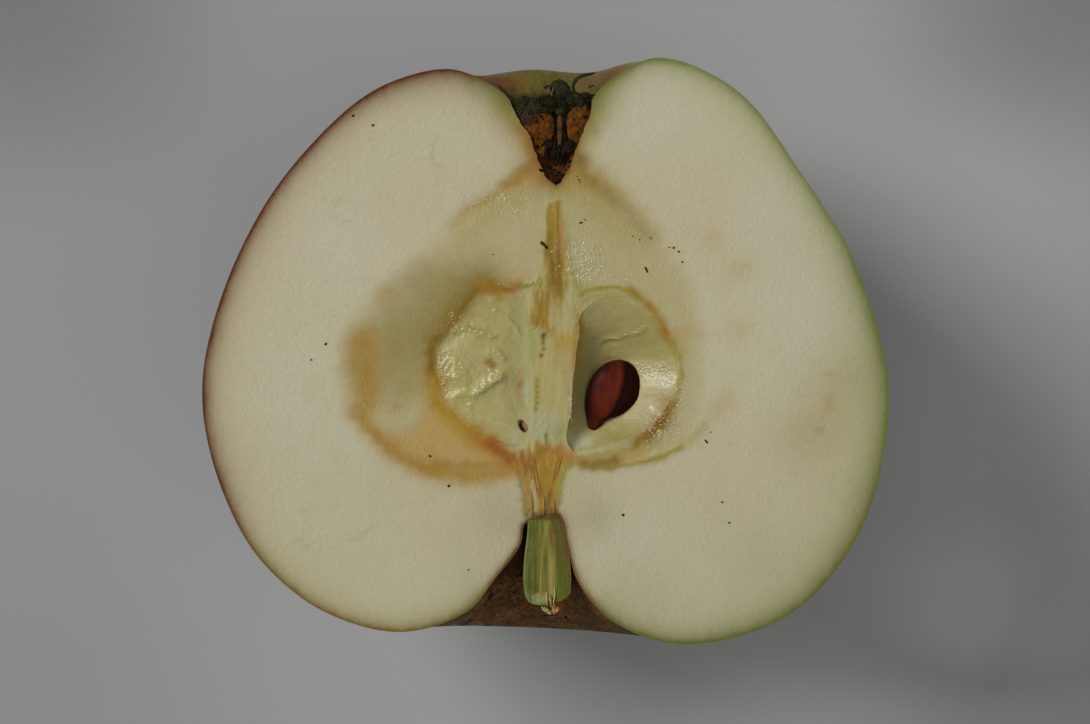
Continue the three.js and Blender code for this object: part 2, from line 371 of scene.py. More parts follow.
class Line:
    """A smooth line on the cut face. A closed one is a patch."""

    def __init__(self, *points, closed=False):
        points = [*points, points[0]] if closed else points
        self.run = curve_through(points, np.linspace(0, len(points) - 1, 4 * len(points)))

    def measure(self, spots):
        """How far each spot lies from the line, and its station along it from 0 to 1."""
        nearest, station = np.full(len(spots), 1e9), np.zeros(len(spots))
        for number, (start, end) in enumerate(zip(self.run[:-1], self.run[1:])):
            step = end - start
            share = np.clip((spots - start) @ step / max(step @ step, 1e-12), 0, 1)
            far = np.linalg.norm(spots - start - share[:, None] * step, axis=1)
            closer = far < nearest
            nearest[closer] = far[closer]
            station[closer] = (number + share[closer]) / (len(self.run) - 1)
        return nearest, station

    def near(self, spots, reach):
        return ((spots > self.run.min(0) - reach) & (spots < self.run.max(0) + reach)).all(axis=1)

    def stroke(self, spots, width, end=1.0):
        """1 on the line, falling softly to 0 at about twice the width, and `end` at its last point."""
        near = self.near(spots, 2.6 * width)
        amount = np.zeros(len(spots))
        nearest, station = self.measure(spots[near])
        amount[near] = np.exp(-((nearest / width) ** 2)) * (1 + (end - 1) * station)
        return amount

    def patch(self, spots, soft):
        """1 well inside the closed line and 0 well outside, over an edge `soft` mm wide."""
        near = self.near(spots, soft)
        x, y = spots[near].T
        inside = np.zeros(len(x), bool)
        for (x0, y0), (x1, y1) in zip(self.run[:-1], self.run[1:]):
            if y0 != y1:
                crossing = x0 + (y - y0) * (x1 - x0) / (y1 - y0)
                inside ^= ((y0 > y) != (y1 > y)) & (x < crossing)
        depth = np.where(inside, 1, -1) * self.measure(spots[near])[0]
        share = np.clip(depth / soft + 0.5, 0, 1)
        amount = np.zeros(len(spots))
        amount[near] = share * share * (3 - 2 * share)
        return amount


def patch(*points):
    return Line(*points, closed=True)


CORE = patch(
    (-0.5, 20.9), (-3.7, 19.5), (-6.6, 17.7), (-10.0, 15.1), (-13.5, 11.8), (-17.3, 9.2),
    (-19.8, 6.9), (-21.9, 3.9), (-23.3, 0.9), (-23.6, -2.0), (-22.6, -6.0), (-19.9, -9.9),
    (-16.4, -12.5), (-12.3, -14.2), (-7.7, -14.7), (-3.9, -13.3), (-2.5, -15.3), (-1.7, -18.0),
    (0.9, -18.4), (1.3, -15.7), (3.5, -13.6), (6.8, -13.5), (10.1, -13.1), (12.9, -12.3),
    (16.0, -10.8), (17.6, -6.8), (18.2, -3.0), (18.2, 0.7), (17.6, 5.0), (16.2, 8.9),
    (13.4, 12.6), (10.7, 15.6), (7.8, 18.0), (5.2, 19.9), (2.6, 21.4),
)
LEFT_ARM = Line((-1.2, 21.7), (-2.7, 20.6), (-4.2, 19.6), (-5.6, 18.4), (-8.0, 16.9), (-10.5, 15.0))
BESIDE_LEFT_ARM = Line((-1.6, 20.2), (-4.0, 18.2), (-6.6, 16.4), (-9.4, 14.2))
RIGHT_ARM = Line((3.0, 22.4), (4.0, 21.2), (5.5, 20.0), (7.0, 18.9), (8.4, 17.6), (10.0, 16.2), (12.6, 13.4))
BELOW_RIGHT_ARM = Line((1.8, 21.0), (3.4, 19.4), (5.4, 17.6), (7.4, 15.6), (9.4, 13.4))
ABOVE_RIGHT_ARM = Line((5.2, 22.0), (7.2, 20.2), (9.4, 18.0), (11.6, 15.6))
# Where painted sheen whitens the flesh, x and y.
SHEEN_SPOTS = [(12.2, 28.2), (27.4, 17.6), (8.7, -22.1), (-22.9, 11.8), (32.1, 6.0)]
LEFT_ARC = patch(
    (-23.0, 1.6), (-21.8, 3.0), (-20.2, 2.6), (-19.2, 0.5), (-18.8, -2.5), (-19.4, -5.6),
    (-20.6, -8.2), (-21.8, -7.6), (-22.8, -5.0), (-23.4, -1.8),
)
LOWER_BRUISE = patch(
    (-19.6, -9.6), (-16.5, -9.4), (-14.2, -7.6), (-12.9, -5.6), (-11.5, -7.2), (-9.4, -9.2),
    (-6.5, -10.2), (-4.2, -12.0), (-3.6, -13.8), (-7.5, -14.9), (-11.5, -14.7), (-15.0, -13.3),
    (-17.8, -11.8),
)
LOWER_EDGE = Line(
    (-22.2, -7.2), (-20.0, -9.8), (-17.5, -12.1), (-14.5, -13.6), (-11.0, -14.5), (-7.0, -14.6), (-4.4, -14.1)
)
LOWER_OLIVE = Line((-13.0, -13.3), (-9.0, -13.4), (-6.0, -13.3), (-3.8, -13.4))
BRUISE_BY_LINING = Line(
    (-13.4, -3.2), (-12.8, -5.8), (-11.2, -8.0), (-9.2, -9.8), (-7.0, -11.0), (-4.6, -12.6)
)
DEEP_BRUISE = Line((-8.6, -9.7), (-7.4, -10.5), (-5.9, -11.3), (-4.4, -12.5), (-3.2, -13.3))
GLASSY_FLESH = patch(
    (-19.2, 5.0), (-17.5, 7.8), (-14.5, 9.8), (-11.5, 9.8), (-8.8, 9.2), (-7.2, 8.0), (-8.8, 6.2),
    (-10.2, 4.4), (-11.4, 2.8), (-13.2, 1.0), (-13.5, -2.5), (-14.2, -5.0), (-16.5, -6.4),
    (-19.0, -5.5), (-20.0, -1.0), (-19.9, 3.0),
)
GLASSY_DEEP = Line((-7.6, 8.6), (-9.6, 7.2), (-11.6, 5.4), (-13.4, 3.2), (-15.4, 1.4), (-17.4, 0.4))
LEFT_RIM = Line(
    (-6.6, 7.6), (-7.6, 7.3), (-8.8, 6.2), (-10.2, 4.4), (-11.2, 3.0), (-12.1, 1.8), (-13.3, 0.8),
    (-13.4, -1.2), (-13.1, -3.6),
)
BESIDE_LEFT_RIM = Line((-7.4, 8.4), (-9.0, 7.2), (-10.6, 5.6), (-12.0, 3.6), (-13.6, 1.8))
LEFT_RIM_RUST = Line((-13.1, -3.6), (-12.7, -5.8), (-11.4, -7.4), (-9.8, -8.8), (-9.0, -9.3))
LEFT_TOP_RUST = Line((-6.9, 7.3), (-5.6, 7.3), (-4.6, 7.2), (-3.2, 7.5))
COLUMN = patch(
    (0.3, 17.4), (1.9, 17.4), (2.7, 13.0), (3.2, 9.0), (4.1, 6.2), (3.9, 2.0), (3.4, -2.0),
    (3.1, -6.0), (2.8, -8.6), (2.2, -11.0), (-2.4, -11.3), (-1.9, -7.0), (-1.7, 0.0), (-1.8, 6.8),
    (-0.9, 9.0), (-0.1, 13.0),
)
STREAK = patch(
    (0.75, 17.3), (1.45, 17.3), (1.55, 16.2), (1.9, 15.2), (2.05, 13.6), (2.3, 11.8), (2.45, 9.4), (2.4, 7.6),
    (2.0, 5.8), (0.6, 6.0), (0.0, 8.0), (-0.1, 9.5), (0.0, 11.4), (0.1, 13.4), (0.2, 15.2), (0.4, 16.4),
)
STREAK_LEG = patch(
    (-1.1, 7.2), (0.55, 7.4), (0.55, 5.2), (0.5, 3.3), (0.8, 2.1), (-0.4, 2.2), (-1.4, 2.9), (-1.8, 3.5),
    (-1.25, 4.7), (-1.3, 6.2),
)
RIGHT_LEG = Line((1.6, 8.0), (1.55, 6.6), (1.5, 5.4), (1.5, 4.2))
RUST_BAND = patch(
    (1.3, 2.0), (2.4, 1.9), (3.1, 2.6), (3.9, 2.6), (3.95, 1.0), (3.6, -0.8), (3.0, -0.8), (2.4, -0.2),
    (1.4, 0.6),
)
RIGHT_EDGE_RUST = Line((3.9, 4.2), (3.9, 2.5), (3.8, 1.0), (3.5, -0.3), (3.2, -1.8))
COLUMN_LINE = Line((-1.0, -3.2), (-1.1, -5.0), (-1.2, -6.9))
COLUMN_FOOT = patch((-1.9, -6.9), (0.2, -6.6), (1.4, -7.4), (1.4, -10.4), (0.2, -10.9), (-1.9, -10.6))
PITS = [(-0.34, 1.8), (-0.05, 1.95), (-0.2, 1.45), (-0.24, 0.93), (-0.14, 0.25), (-0.47, -0.54)]
COLUMN_BEADS = [(-0.98, -3.4), (-0.92, -4.1), (-0.93, -4.8), (-1.02, -5.4), (-1.0, -6.1), (-1.1, -6.8)]
FIBRES = patch(
    (-3.9, -12.5), (-2.3, -11.4), (-0.5, -11.0), (1.8, -10.9), (3.6, -12.2), (2.5, -13.4), (1.8, -15.2),
    (1.4, -17.0), (1.4, -19.4), (-2.3, -19.4), (-2.5, -17.0), (-2.8, -15.2), (-3.9, -13.8),
)
FIBRE_GROOVE = Line((0.6, -15.8), (0.35, -17.2), (0.05, -19.0))
FIBRE_SLIVER = Line((-1.7, -14.8), (-1.45, -16.6), (-1.1, -19.0))
LOWER_BAND = patch(
    (3.4, -12.7), (5.0, -12.0), (7.5, -11.9), (10.0, -11.4), (12.5, -10.6), (12.0, -12.2), (9.0, -13.1),
    (6.0, -13.5), (4.0, -13.4),
)
RIGHT_STAIN = Line((14.1, -6.3), (13.9, -7.6), (13.1, -9.0), (12.0, -10.0), (10.8, -10.7))
RIGHT_RIM_RUST = Line((9.9, 6.9), (11.5, 5.6), (12.9, 4.0), (13.9, 2.3), (14.6, 1.2))
RIGHT_RIM = Line((14.9, 0.9), (15.7, -0.9), (15.9, -2.8), (15.5, -4.9), (14.8, -6.6))
RIGHT_WAKE = Line((13.5, -11.4), (16.0, -10.6), (18.2, -9.2), (20.3, -6.4), (22.6, -3.0))
GREEN_VESSELS = [  # the line, half its width and how strongly it shows
    (Line((4.0, 6.6), (5.2, 7.0), (6.8, 7.4), (8.4, 7.4), (9.8, 6.9), (10.6, 6.3)), 0.3, 0.9),
    (Line((4.3, 6.0), (6.0, 6.5), (7.6, 6.7), (9.2, 6.4)), 0.22, 0.6),
    (Line((-3.2, 7.7), (-1.8, 7.7), (-0.7, 8.1), (0.1, 9.2)), 0.26, 0.8),
    (Line((1.5, -17.6), (1.7, -15.6), (2.0, -14.3), (2.6, -13.6), (3.6, -13.2), (5.2, -13.7), (7.2, -13.7),
          (9.5, -13.3), (12.0, -12.9), (14.0, -12.2), (15.6, -11.2)), 0.34, 0.85),
    (Line((2.4, -13.0), (4.2, -12.3), (6.2, -12.0), (8.4, -11.8), (10.4, -11.2), (12.2, -10.3)), 0.26, 0.6),
    (Line((14.9, 0.9), (15.7, -0.9), (15.9, -2.8), (15.5, -4.9), (14.8, -6.6)), 0.28, 0.8),
    (Line((15.2, -11.5), (16.8, -10.4), (18.4, -8.6)), 0.5, 0.22),
]
FAINT_BLOTCHES = [  # x, y, width
    (22.7, 2.4, 1.8), (22.8, 9.5, 1.6), (19.5, 13.0, 1.4), (17.8, 1.8, 0.6), (21.0, -6.4, 1.5),
    (16.3, 2.2, 0.7),
]
VEIN = Line((33.3, -2.5), (33.8, -4.1), (33.5, -5.7), (32.8, -7.8), (32.1, -9.5))
CROSS_CUT_VEINS = [
    Line((-12.8, 24.7), (-13.5, 23.5), (-13.2, 22.1), (-12.0, 21.5)),
    Line((-23.8, 17.7), (-24.9, 16.8), (-24.9, 15.7), (-23.8, 15.1)),
    Line((-22.6, -22.2), (-21.4, -21.5), (-20.1, -20.5)),
    Line((-29.0, -22.1), (-28.1, -22.7), (-27.3, -22.8)),
]
LEFT_LINING = patch(
    (-11.9, -3.6), (-12.0, 0.3), (-9.9, 3.4), (-7.8, 5.7), (-5.2, 6.1), (-3.0, 5.6), (-2.7, 0.0),
    (-2.7, -7.0), (-3.2, -10.4), (-5.4, -10.2), (-9.3, -7.6),
)
LINING_RISE = 1.0  # how far the cut rises to clear the left lining
RIGHT_LINING_TOP = Line((4.6, 5.6), (6.6, 6.2), (8.6, 6.6), (10.2, 6.0), (12.0, 4.4))
LINING_VEINS = [
    Line((-3.2, -8.4), (-5.8, -5.4)), Line((-3.1, -7.6), (-5.0, -2.0)), Line((-3.2, -9.4), (-8.6, -7.2)),
]
WET_PLACES = [  # the line and half its width
    (Line((3.0, 12.4), (3.4, 11.0), (4.6, 10.4), (6.0, 11.8), (5.2, 9.6), (3.4, 9.2)), 1.0),
    (Line((12.2, -11.0), (13.4, -10.4), (14.6, -9.2), (15.2, -7.6)), 0.6),
    (Line((-9.0, 17.4), (-6.0, 17.8), (-3.0, 17.2)), 1.1),
    (Line((-2.0, 8.0), (0.4, 6.4)), 0.5),
    (Line((-12.0, -1.0), (-11.6, -3.4), (-10.6, -6.0)), 1.0),
    (Line((-11.0, -1.8), (-9.4, -2.0), (-8.0, -1.4)), 0.9),
    (Line((-8.6, -5.3), (-6.8, -4.0), (-5.2, -3.0)), 0.75),
    (Line((-10.2, 2.5), (-9.0, 2.65), (-6.3, 1.8)), 0.35),
    (Line((-6.6, -0.4), (-5.6, 0.0), (-4.9, -0.8)), 0.5),
    (Line((-8.8, -6.2), (-8.7, -8.6)), 0.25),
    (Line((10.9, -2.0), (13.0, -2.3), (14.8, -2.7)), 0.6),
    (Line((12.0, -3.4), (13.6, -3.4), (14.8, -3.8)), 0.7),
    (Line((12.2, -6.4), (13.2, -7.4)), 0.25),
    (Line((6.3, 0.95), (8.5, 1.5), (11.7, 2.9)), 0.22),
    (Line((-9.5, -1.5), (-6.4, -1.8)), 1.0),
    (Line((-5.9, 4.8), (-4.6, 4.0), (-3.2, 2.2)), 0.4),
    (Line((-1.2, 2.2), (0.4, 1.0)), 0.6),
    (Line((-0.8, -8.0), (0.8, -8.8)), 0.7),
]


def blots(places, spots, width):
    """The sum of round soft blots at places x, y."""
    total = np.zeros(len(spots))
    for x, y in places:
        total += np.exp(-((spots[:, 0] - x) ** 2 + (spots[:, 1] - y) ** 2) / width**2)
    return total


def cut_relief(spots):
    """How the cut face departs from a plane: the knife's slight waves, shrunken brown tissue,
    the ridges of the column and of the strands, and a rise over the left chamber's lining, which
    bulged out once it was freed."""
    flat = np.column_stack([spots, np.zeros(len(spots))])
    along_core = flat * np.array([1, 0.12, 1])
    column, fibres = COLUMN.patch(spots, 0.8), FIBRES.patch(spots, 0.6)
    height = 0.05 * ripple(flat, 9.0, seed=2) + 0.006 * ripple(flat, 1.3, seed=3)
    height += column * (0.08 + 0.06 * ripple(along_core, 0.6, seed=4))
    height += fibres * (0.03 + 0.05 * ripple(along_core, 0.6, seed=5))
    height -= 0.12 * LOWER_BRUISE.patch(spots, 2.0) + 0.08 * LEFT_ARC.patch(spots, 2.2)
    height -= 0.1 * (LEFT_ARM.stroke(spots, 0.9) + RIGHT_ARM.stroke(spots, 0.9))
    height -= 0.14 * GLASSY_FLESH.patch(spots, 4.0)
    height -= 0.03 * np.minimum(blots(PITS, spots, 0.26), 1)
    height -= 0.05 * FIBRE_GROOVE.stroke(spots, 0.2)
    height += 0.04 * (LEFT_RIM.stroke(spots, 0.6) + LEFT_RIM_RUST.stroke(spots, 0.6))
    height += LINING_RISE * LEFT_LINING.patch(spots, 1.6)
    for vessel, width, _ in GREEN_VESSELS:
        height += 0.07 * vessel.stroke(spots, width)
    return height


# The knife's underside is a fine grid, finest over the core.
KNIFE_CELLS = (224, 240)
KNIFE_CORE = (21.0, 24.0)
KNIFE_EDGE = (45.0, 40.0)
KNIFE_CORE_SHARE = (0.8, 0.86)
KNIFE_HEIGHT = 60


def spread(share, core, edge, core_share):
    """Grid shares from -1 to 1 as mm: core_share of the cells lie within core, the rest reach edge."""
    outer = core + (np.abs(share) - core_share) / (1 - core_share) * (edge - core)
    inner = np.abs(share) / core_share * core
    return np.sign(share) * np.where(np.abs(share) < core_share, inner, outer)


knife_mesh = bmesh.new()
bmesh.ops.create_grid(knife_mesh, x_segments=KNIFE_CELLS[0], y_segments=KNIFE_CELLS[1], size=1)
shares = np.array([v.co for v in knife_mesh.verts])
knife_spots = np.column_stack(
    [spread(shares[:, k], KNIFE_CORE[k], KNIFE_EDGE[k], KNIFE_CORE_SHARE[k]) for k in (0, 1)]
)
for vertex, (x, y), rise in zip(knife_mesh.verts, knife_spots, cut_relief(knife_spots)):
    vertex.co = (x, y, CUT + rise)
rims = [edge for edge in knife_mesh.edges if edge.is_boundary]
walls = bmesh.ops.extrude_edge_only(knife_mesh, edges=rims)["geom"]
top_rim = [part for part in walls if isinstance(part, bmesh.types.BMVert)]
for vertex in top_rim:
    vertex.co.z = CUT + KNIFE_HEIGHT
lid_edges = [part for part in walls if isinstance(part, bmesh.types.BMEdge) and part.is_boundary]
bmesh.ops.contextual_create(knife_mesh, geom=lid_edges)
bmesh.ops.recalc_face_normals(knife_mesh, faces=knife_mesh.faces)
knife = temporary("knife", knife_mesh, FLESH_SLOT)

# ---- The seed chambers ---------------------------------------------------------------------------
# Two of the core's five chambers, lined with a tough glossy parchment. The knife opened the right
# one down its middle, and only grazed the left one, whose lining lies shallow and creased.

RIGHT_CHAMBER = {
    "foot": (3.3, -11.9, 3.3, -11.9),
    "heel": (6.6, -11.2, 2.5, -10.6),
    "belly": (12.7, -8.4, 2.9, -7.0),
    "waist": (15.6, -3.2, 3.3, -3.0),
    "shoulder": (15.0, 0.2, 3.7, 0.6),
    "neck": (12.4, 4.2, 4.1, 4.1),
    "top": (9.4, 6.2, 5.4, 5.6),
    "tip": (7.4, 6.4, 7.4, 6.4),
}
LEFT_CHAMBER = {
    "foot": (-3.3, -12.2, -3.3, -12.2),
    "heel": (-2.2, -11.0, -5.8, -11.0),
    "belly": (-2.0, -7.6, -10.1, -8.1),
    "waist": (-2.0, -3.4, -12.6, -4.0),
    "shoulder": (-1.9, 0.6, -12.9, 0.5),
    "neck": (-1.8, 4.0, -10.2, 4.2),
    "top": (-2.6, 6.9, -8.1, 6.6),
    "tip": (-5.2, 7.1, -5.2, 7.1),
}
RIGHT_CHAMBER_DEPTH, LEFT_CHAMBER_DEPTH = 0.64, 0.1  # shares of half its width, which a bowl scales
LEFT_BULGE = 1.05  # how far the left lining rises, as a share of the depth above
# Creases of the lining: its line, how wide a fold is and how high it stands.
CREASES = [
    (Line((6.3, 0.9), (7.3, 1.5), (8.5, 1.45), (9.7, 1.95), (10.95, 2.1), (11.7, 2.85)), 0.16, 0.19),
    (Line((6.6, 0.5), (7.5, 1.1), (8.6, 1.05), (9.8, 1.5)), 0.2, -0.09),
    (Line((10.6, -0.3), (12.4, -0.4), (14.6, -0.6)), 1.4, -0.18),
    (Line((12.2, -4.3), (13.6, -4.5), (15.2, -4.4)), 1.3, 0.18),
    (Line((-10.6, 2.3), (-9.4, 2.6), (-8.1, 2.3), (-6.3, 1.7)), 0.35, 0.17),
    (Line((-8.2, -5.0), (-7.2, -4.2), (-6.2, -3.4), (-5.2, -3.0)), 0.7, 0.32),
    (Line((-7.4, -5.4), (-6.2, -4.4), (-5.0, -3.8)), 1.2, 0.1),
    (Line((-11.6, -6.4), (-10.6, -5.4), (-9.4, -4.8)), 0.6, 0.25),
    (Line((-12.6, -2.6), (-11.2, -2.8), (-9.8, -3.0)), 0.7, 0.16),
    (Line((-8.8, -6.2), (-8.7, -7.5), (-8.7, -8.9)), 0.22, 0.11),
    (Line((-6.6, -0.4), (-5.8, -0.1), (-4.9, -0.8)), 0.4, 0.17),
    (Line((-5.9, 4.8), (-4.6, 4.0), (-3.6, 2.9), (-3.0, 1.9)), 0.25, 0.08),
    (Line((-3.2, -9.0), (-5.6, -8.1), (-8.2, -7.2), (-10.4, -6.0)), 0.35, -0.04),
]
WRINKLES = [  # the same, for fine wrinkling
    (Line((-12.4, -0.8), (-9.5, -1.5), (-6.4, -1.8)), 1.2, 0.1),
    (Line((-11.8, -4.2), (-9.0, -3.7), (-6.0, -3.0)), 1.2, 0.1),
    (Line((-10.8, 2.4), (-8.6, 2.5), (-5.4, 1.6)), 0.5, 0.15),
    (Line((-11.4, -5.6), (-10.6, -6.6)), 0.8, 0.1),
    (Line((-5.9, 4.8), (-4.6, 4.0), (-3.2, 2.2)), 0.35, 0.05),
]
PLEATS = [  # rows of fine uneven pleats that run up to the right: from x, y, to x, y, how many
    ((-10.5, 2.35), (-5.9, 1.75), 10),
    ((-8.1, -4.9), (-5.1, -3.0), 8),
    ((-11.9, -1.5), (-9.0, -1.9), 6),
    ((-11.6, -3.3), (-9.2, -3.6), 5),
    ((-11.2, -6.0), (-10.2, -6.5), 3),
]
PLEAT_WIDTH, PLEAT_HEIGHT = 0.22, 0.09
for start, end, count in PLEATS:
    for number in range(count):
        share = (number + 0.22 * math.sin(7 * number)) / (count - 1)
        x, y = (a + (b - a) * share for a, b in zip(start, end))
        x_reach, y_reach = 0.22 + 0.08 * math.cos(5 * number), 0.38 + 0.14 * math.sin(4 * number)
        pleat = Line((x - x_reach, y - y_reach), (x, y), (x + x_reach, y + y_reach))
        CREASES.append((pleat, PLEAT_WIDTH, PLEAT_HEIGHT))
SEED_HOLE = {"spot": (-2.65, -8.8), "reach": (0.56, 0.82), "depth": 3.0}


def open_bowl(side, y):
    """A chamber's depth across it, from -1 at the left edge to 1 at the right: a steep left wall,
    then an even slope up to the right rim. The chamber's upper end is shallow."""
    wall = 0.35 + 0.12 * np.clip(y - 1, 0, 5)
    return 0.73 * (1 - side) * (1 - np.exp(-(1 + side) / wall)) * np.clip((7.2 - y) / 8.2, 0.06, 1)


def grazed_bowl(side, y):
    """Level at its left rim; from there the lining bulges up, most steeply low down, and dies out
    on the right."""
    bulge = np.clip((1 + side) / (0.55 + 0.4 * np.clip((y - 0.2) / 2, 0, 1)), 0, 1)
    end = np.clip((1 - side) / 0.7, 0, 1)
    return (0.1 - LEFT_BULGE * bulge * bulge * (3 - 2 * bulge)) * end * end * (3 - 2 * end)


def lining(outline, depth, bowl, cover):
    """A chamber's rings, with the creases in its lower side. Its upper side is only there to cut
    with, and is stretched by cover to clear the cut face."""
    pod = between_edges(outline, depth)

    def place(along, around):
        spots = pod(along, around)
        lower = np.sin(around) > 1e-6
        reach = np.where(lower, (CUT - spots[:, 2]) / np.maximum(np.sin(around), 1e-6), 0)
        above = CUT + (spots[:, 2] - CUT) * cover
        spots[:, 2] = np.where(lower, CUT - reach * bowl(np.cos(around), spots[:, 1]), above)
        flat = spots[:, :2]
        folds = 0.05 * ripple(spots * np.array([1, 1, 0]), 2.6, seed=6)
        fine = ripple(spots * np.array([1, 1, 0]), 0.43, seed=7)
        for line, width, height in WRINKLES:
            folds += height * line.stroke(flat, width) * fine
        for line, width, height in CREASES:
            folds += height * line.stroke(flat, width)
        inside = np.clip(np.sin(around) / 0.35, 0, 1) * np.clip(np.sin(along * math.pi) / 0.3, 0, 1)
        spots[:, 2] += folds * inside
        return spots

    return place


def seed_hole(along, around):
    """The small torn hole through which the next seed shows."""
    reach = np.sin(along * math.pi)
    x = SEED_HOLE["spot"][0] + SEED_HOLE["reach"][0] * reach * np.cos(around)
    y = SEED_HOLE["spot"][1] + SEED_HOLE["reach"][1] * reach * np.sin(around)
    z = CUT + 1.5 - SEED_HOLE["depth"] * along
    return np.column_stack([x + 0.4 * (SEED_HOLE["spot"][1] - y), y, z])


FLOOR_SIZE = 200
floor_mesh = bmesh.new()
bmesh.ops.create_cube(floor_mesh, size=FLOOR_SIZE)
bmesh.ops.translate(floor_mesh, vec=(0, 0, -FLOOR_SIZE / 2), verts=floor_mesh.verts)
right_pod = lining(RIGHT_CHAMBER, RIGHT_CHAMBER_DEPTH, open_bowl, cover=1)
left_pod = lining(LEFT_CHAMBER, LEFT_CHAMBER_DEPTH, grazed_bowl, cover=12)
cutters = [
    knife,
    temporary("right_pod", ring_body(rings=120, sides=130, place=right_pod), LINING_SLOT),
    temporary("left_pod", ring_body(rings=150, sides=200, place=left_pod), LINING_SLOT),
    temporary("seed_hole", ring_body(rings=14, sides=18, place=seed_hole), LINING_SLOT),
    temporary("resting_flat", floor_mesh, SKIN_SLOT),
]
for cutter in cutters:
    cut = whole_fruit.modifiers.new(cutter.name, "BOOLEAN")
    cut.operation = "DIFFERENCE"
    cut.solver = "MANIFOLD"
    cut.object = cutter

halved = whole_fruit.evaluated_get(bpy.context.evaluated_depsgraph_get())
fruit_data = bpy.data.meshes.new_from_object(halved)
for done_with in [whole_fruit, *cutters]:
    bpy.data.objects.remove(done_with)

# ---- What the fruit's surfaces know ----------------------------------------------------------------
# Each vertex keeps how far it lies from the skin and the funnel, and the thin stains laid over one
# another at its place. The finishes turn these into colour.


def column_of(items, name, kind=float, wide=1):
    """One property of all of a mesh's items: a number each, or a row of `wide` numbers."""
    values = np.zeros(len(items) * wide, kind)
    items.foreach_get(name, values)
    return values.reshape(-1, wide) if wide > 1 else values


spots = column_of(fruit_data.vertices, "co", wide=3)
plan = spots[:, :2]
slots = column_of(fruit_data.polygons, "material_index", int)
loop_totals = column_of(fruit_data.polygons, "loop_total", int)
loop_edges = column_of(fruit_data.loops, "edge_index", int)
edge_ends = column_of(fruit_data.edges, "vertices", int, wide=2)
slots_by_edge = np.repeat(slots, loop_totals)[np.argsort(loop_edges, kind="stable")].reshape(-1, 2)


def from_border(slot_a, slot_b, steps=8):
    """How far each vertex lies, seen from above, from the edges where faces of two slots meet."""
    low, high = sorted((slot_a, slot_b))
    meets = edge_ends[(slots_by_edge.min(1) == low) & (slots_by_edge.max(1) == high)]
    shares = np.arange(steps)[:, None, None] / steps
    rim = (plan[meets[:, 0]] * (1 - shares) + plan[meets[:, 1]] * shares).reshape(-1, 2)
    tree = kdtree.KDTree(len(rim))
    for number, (x, y) in enumerate(rim):
        tree.insert((x, y, 0), number)
    tree.balance()
    return np.array([tree.find((x, y, 0))[2] for x, y in plan])


skin_edge = from_border(SKIN_SLOT, FLESH_SLOT)
funnel_edge = from_border(FUNNEL_SLOT, FLESH_SLOT)

SUNNY_SIDE = np.array([-0.86, 0.44, -0.25])
outwards = (spots - np.array([0, -2, CUT])) / np.array([40, 33, 38])
outwards /= np.linalg.norm(outwards, axis=1)[:, None]

paint = np.zeros((len(spots), 4))
level = spots * np.array([1, 1, 0])
uneven = 1 + 0.14 * ripple(level, 1.1, seed=21) + 0.14 * ripple(level, 3.4, seed=22)
# The stains' outlines wander, and they run out raggedly along the wood's grain.
wood = np.clip(COLUMN.patch(plan, 0.8) + FIBRES.patch(plan, 0.8), 0, 1)
wander = 0.34 * ripple(level, 1.3, seed=23) + 0.16 * ripple(level, 0.6, seed=24)
frayed = 1.1 * ripple(level * np.array([1, 0.12, 0]), 0.42, seed=25)
along_grain = 0.3 * ripple(level * np.array([1, 0.3, 0]), 0.8, seed=26)
plain = 0.34 * ripple(level, 1.2, seed=27)
shift_x, shift_y = wander * (1 - wood) + along_grain * wood, plain * (1 - wood) + frayed * wood
flat = plan + np.column_stack([shift_x, shift_y])


def wash(amount, red, green, blue):
    """Lays a thin stain over the paint so far, 0 to 1 thick at each vertex."""
    cover = np.clip(amount * uneven, 0, 1)[:, None]
    paint[:] = paint * (1 - cover) + np.array(hue(red, green, blue)) * cover


# The core's flesh, its glassy part, and the arms of the core line.
wash(0.66 * CORE.patch(flat, 3.6), 191, 178, 118)
wash(0.65 * GLASSY_FLESH.patch(flat, 5.0), 162, 146, 84)
wash(0.75 * GLASSY_DEEP.stroke(flat, 2.6, end=0.6), 159, 142, 79)
wash(0.5 * BESIDE_LEFT_ARM.stroke(flat, 1.6, end=0.5), 184, 162, 70)
wash(0.6 * BELOW_RIGHT_ARM.stroke(flat, 2.1, end=0.3), 174, 154, 62)
wash(0.4 * ABOVE_RIGHT_ARM.stroke(flat, 1.4, end=0.4), 192, 172, 106)
wash(0.78 * LEFT_ARM.stroke(flat, 0.7, end=0.45), 178, 144, 46)
wash(0.95 * RIGHT_ARM.stroke(flat, 1.2, end=0.35), 156, 120, 0)
wash(0.6 * blots([(-2.1, 21.2)], flat, 1.0), 144, 116, 24)
wash(0.6 * blots([(-3.4, 20.2), (-4.4, 19.4)], flat, 0.8), 168, 130, 40)
# Painted sheen of the wet surface: whiter, bluer flesh in soft patches and towards the lower half.
wash(0.5 * blots(SHEEN_SPOTS, flat, 5.5), 219, 215, 192)
wash(0.24 * np.clip((-6 - flat[:, 1]) / 10, 0, 1), 194, 184, 144)
wash(0.35 * blots([(11.0, -29.1), (25.1, -24.5)], flat, 4.5), 186, 176, 142)
wash(0.2 * blots([(-7.7, -24.5)], flat, 4.5), 186, 178, 162)
wash(0.5 * blots([(35.4, -4.0), (31.0, -10.0)], flat, 4.5), 184, 170, 122)
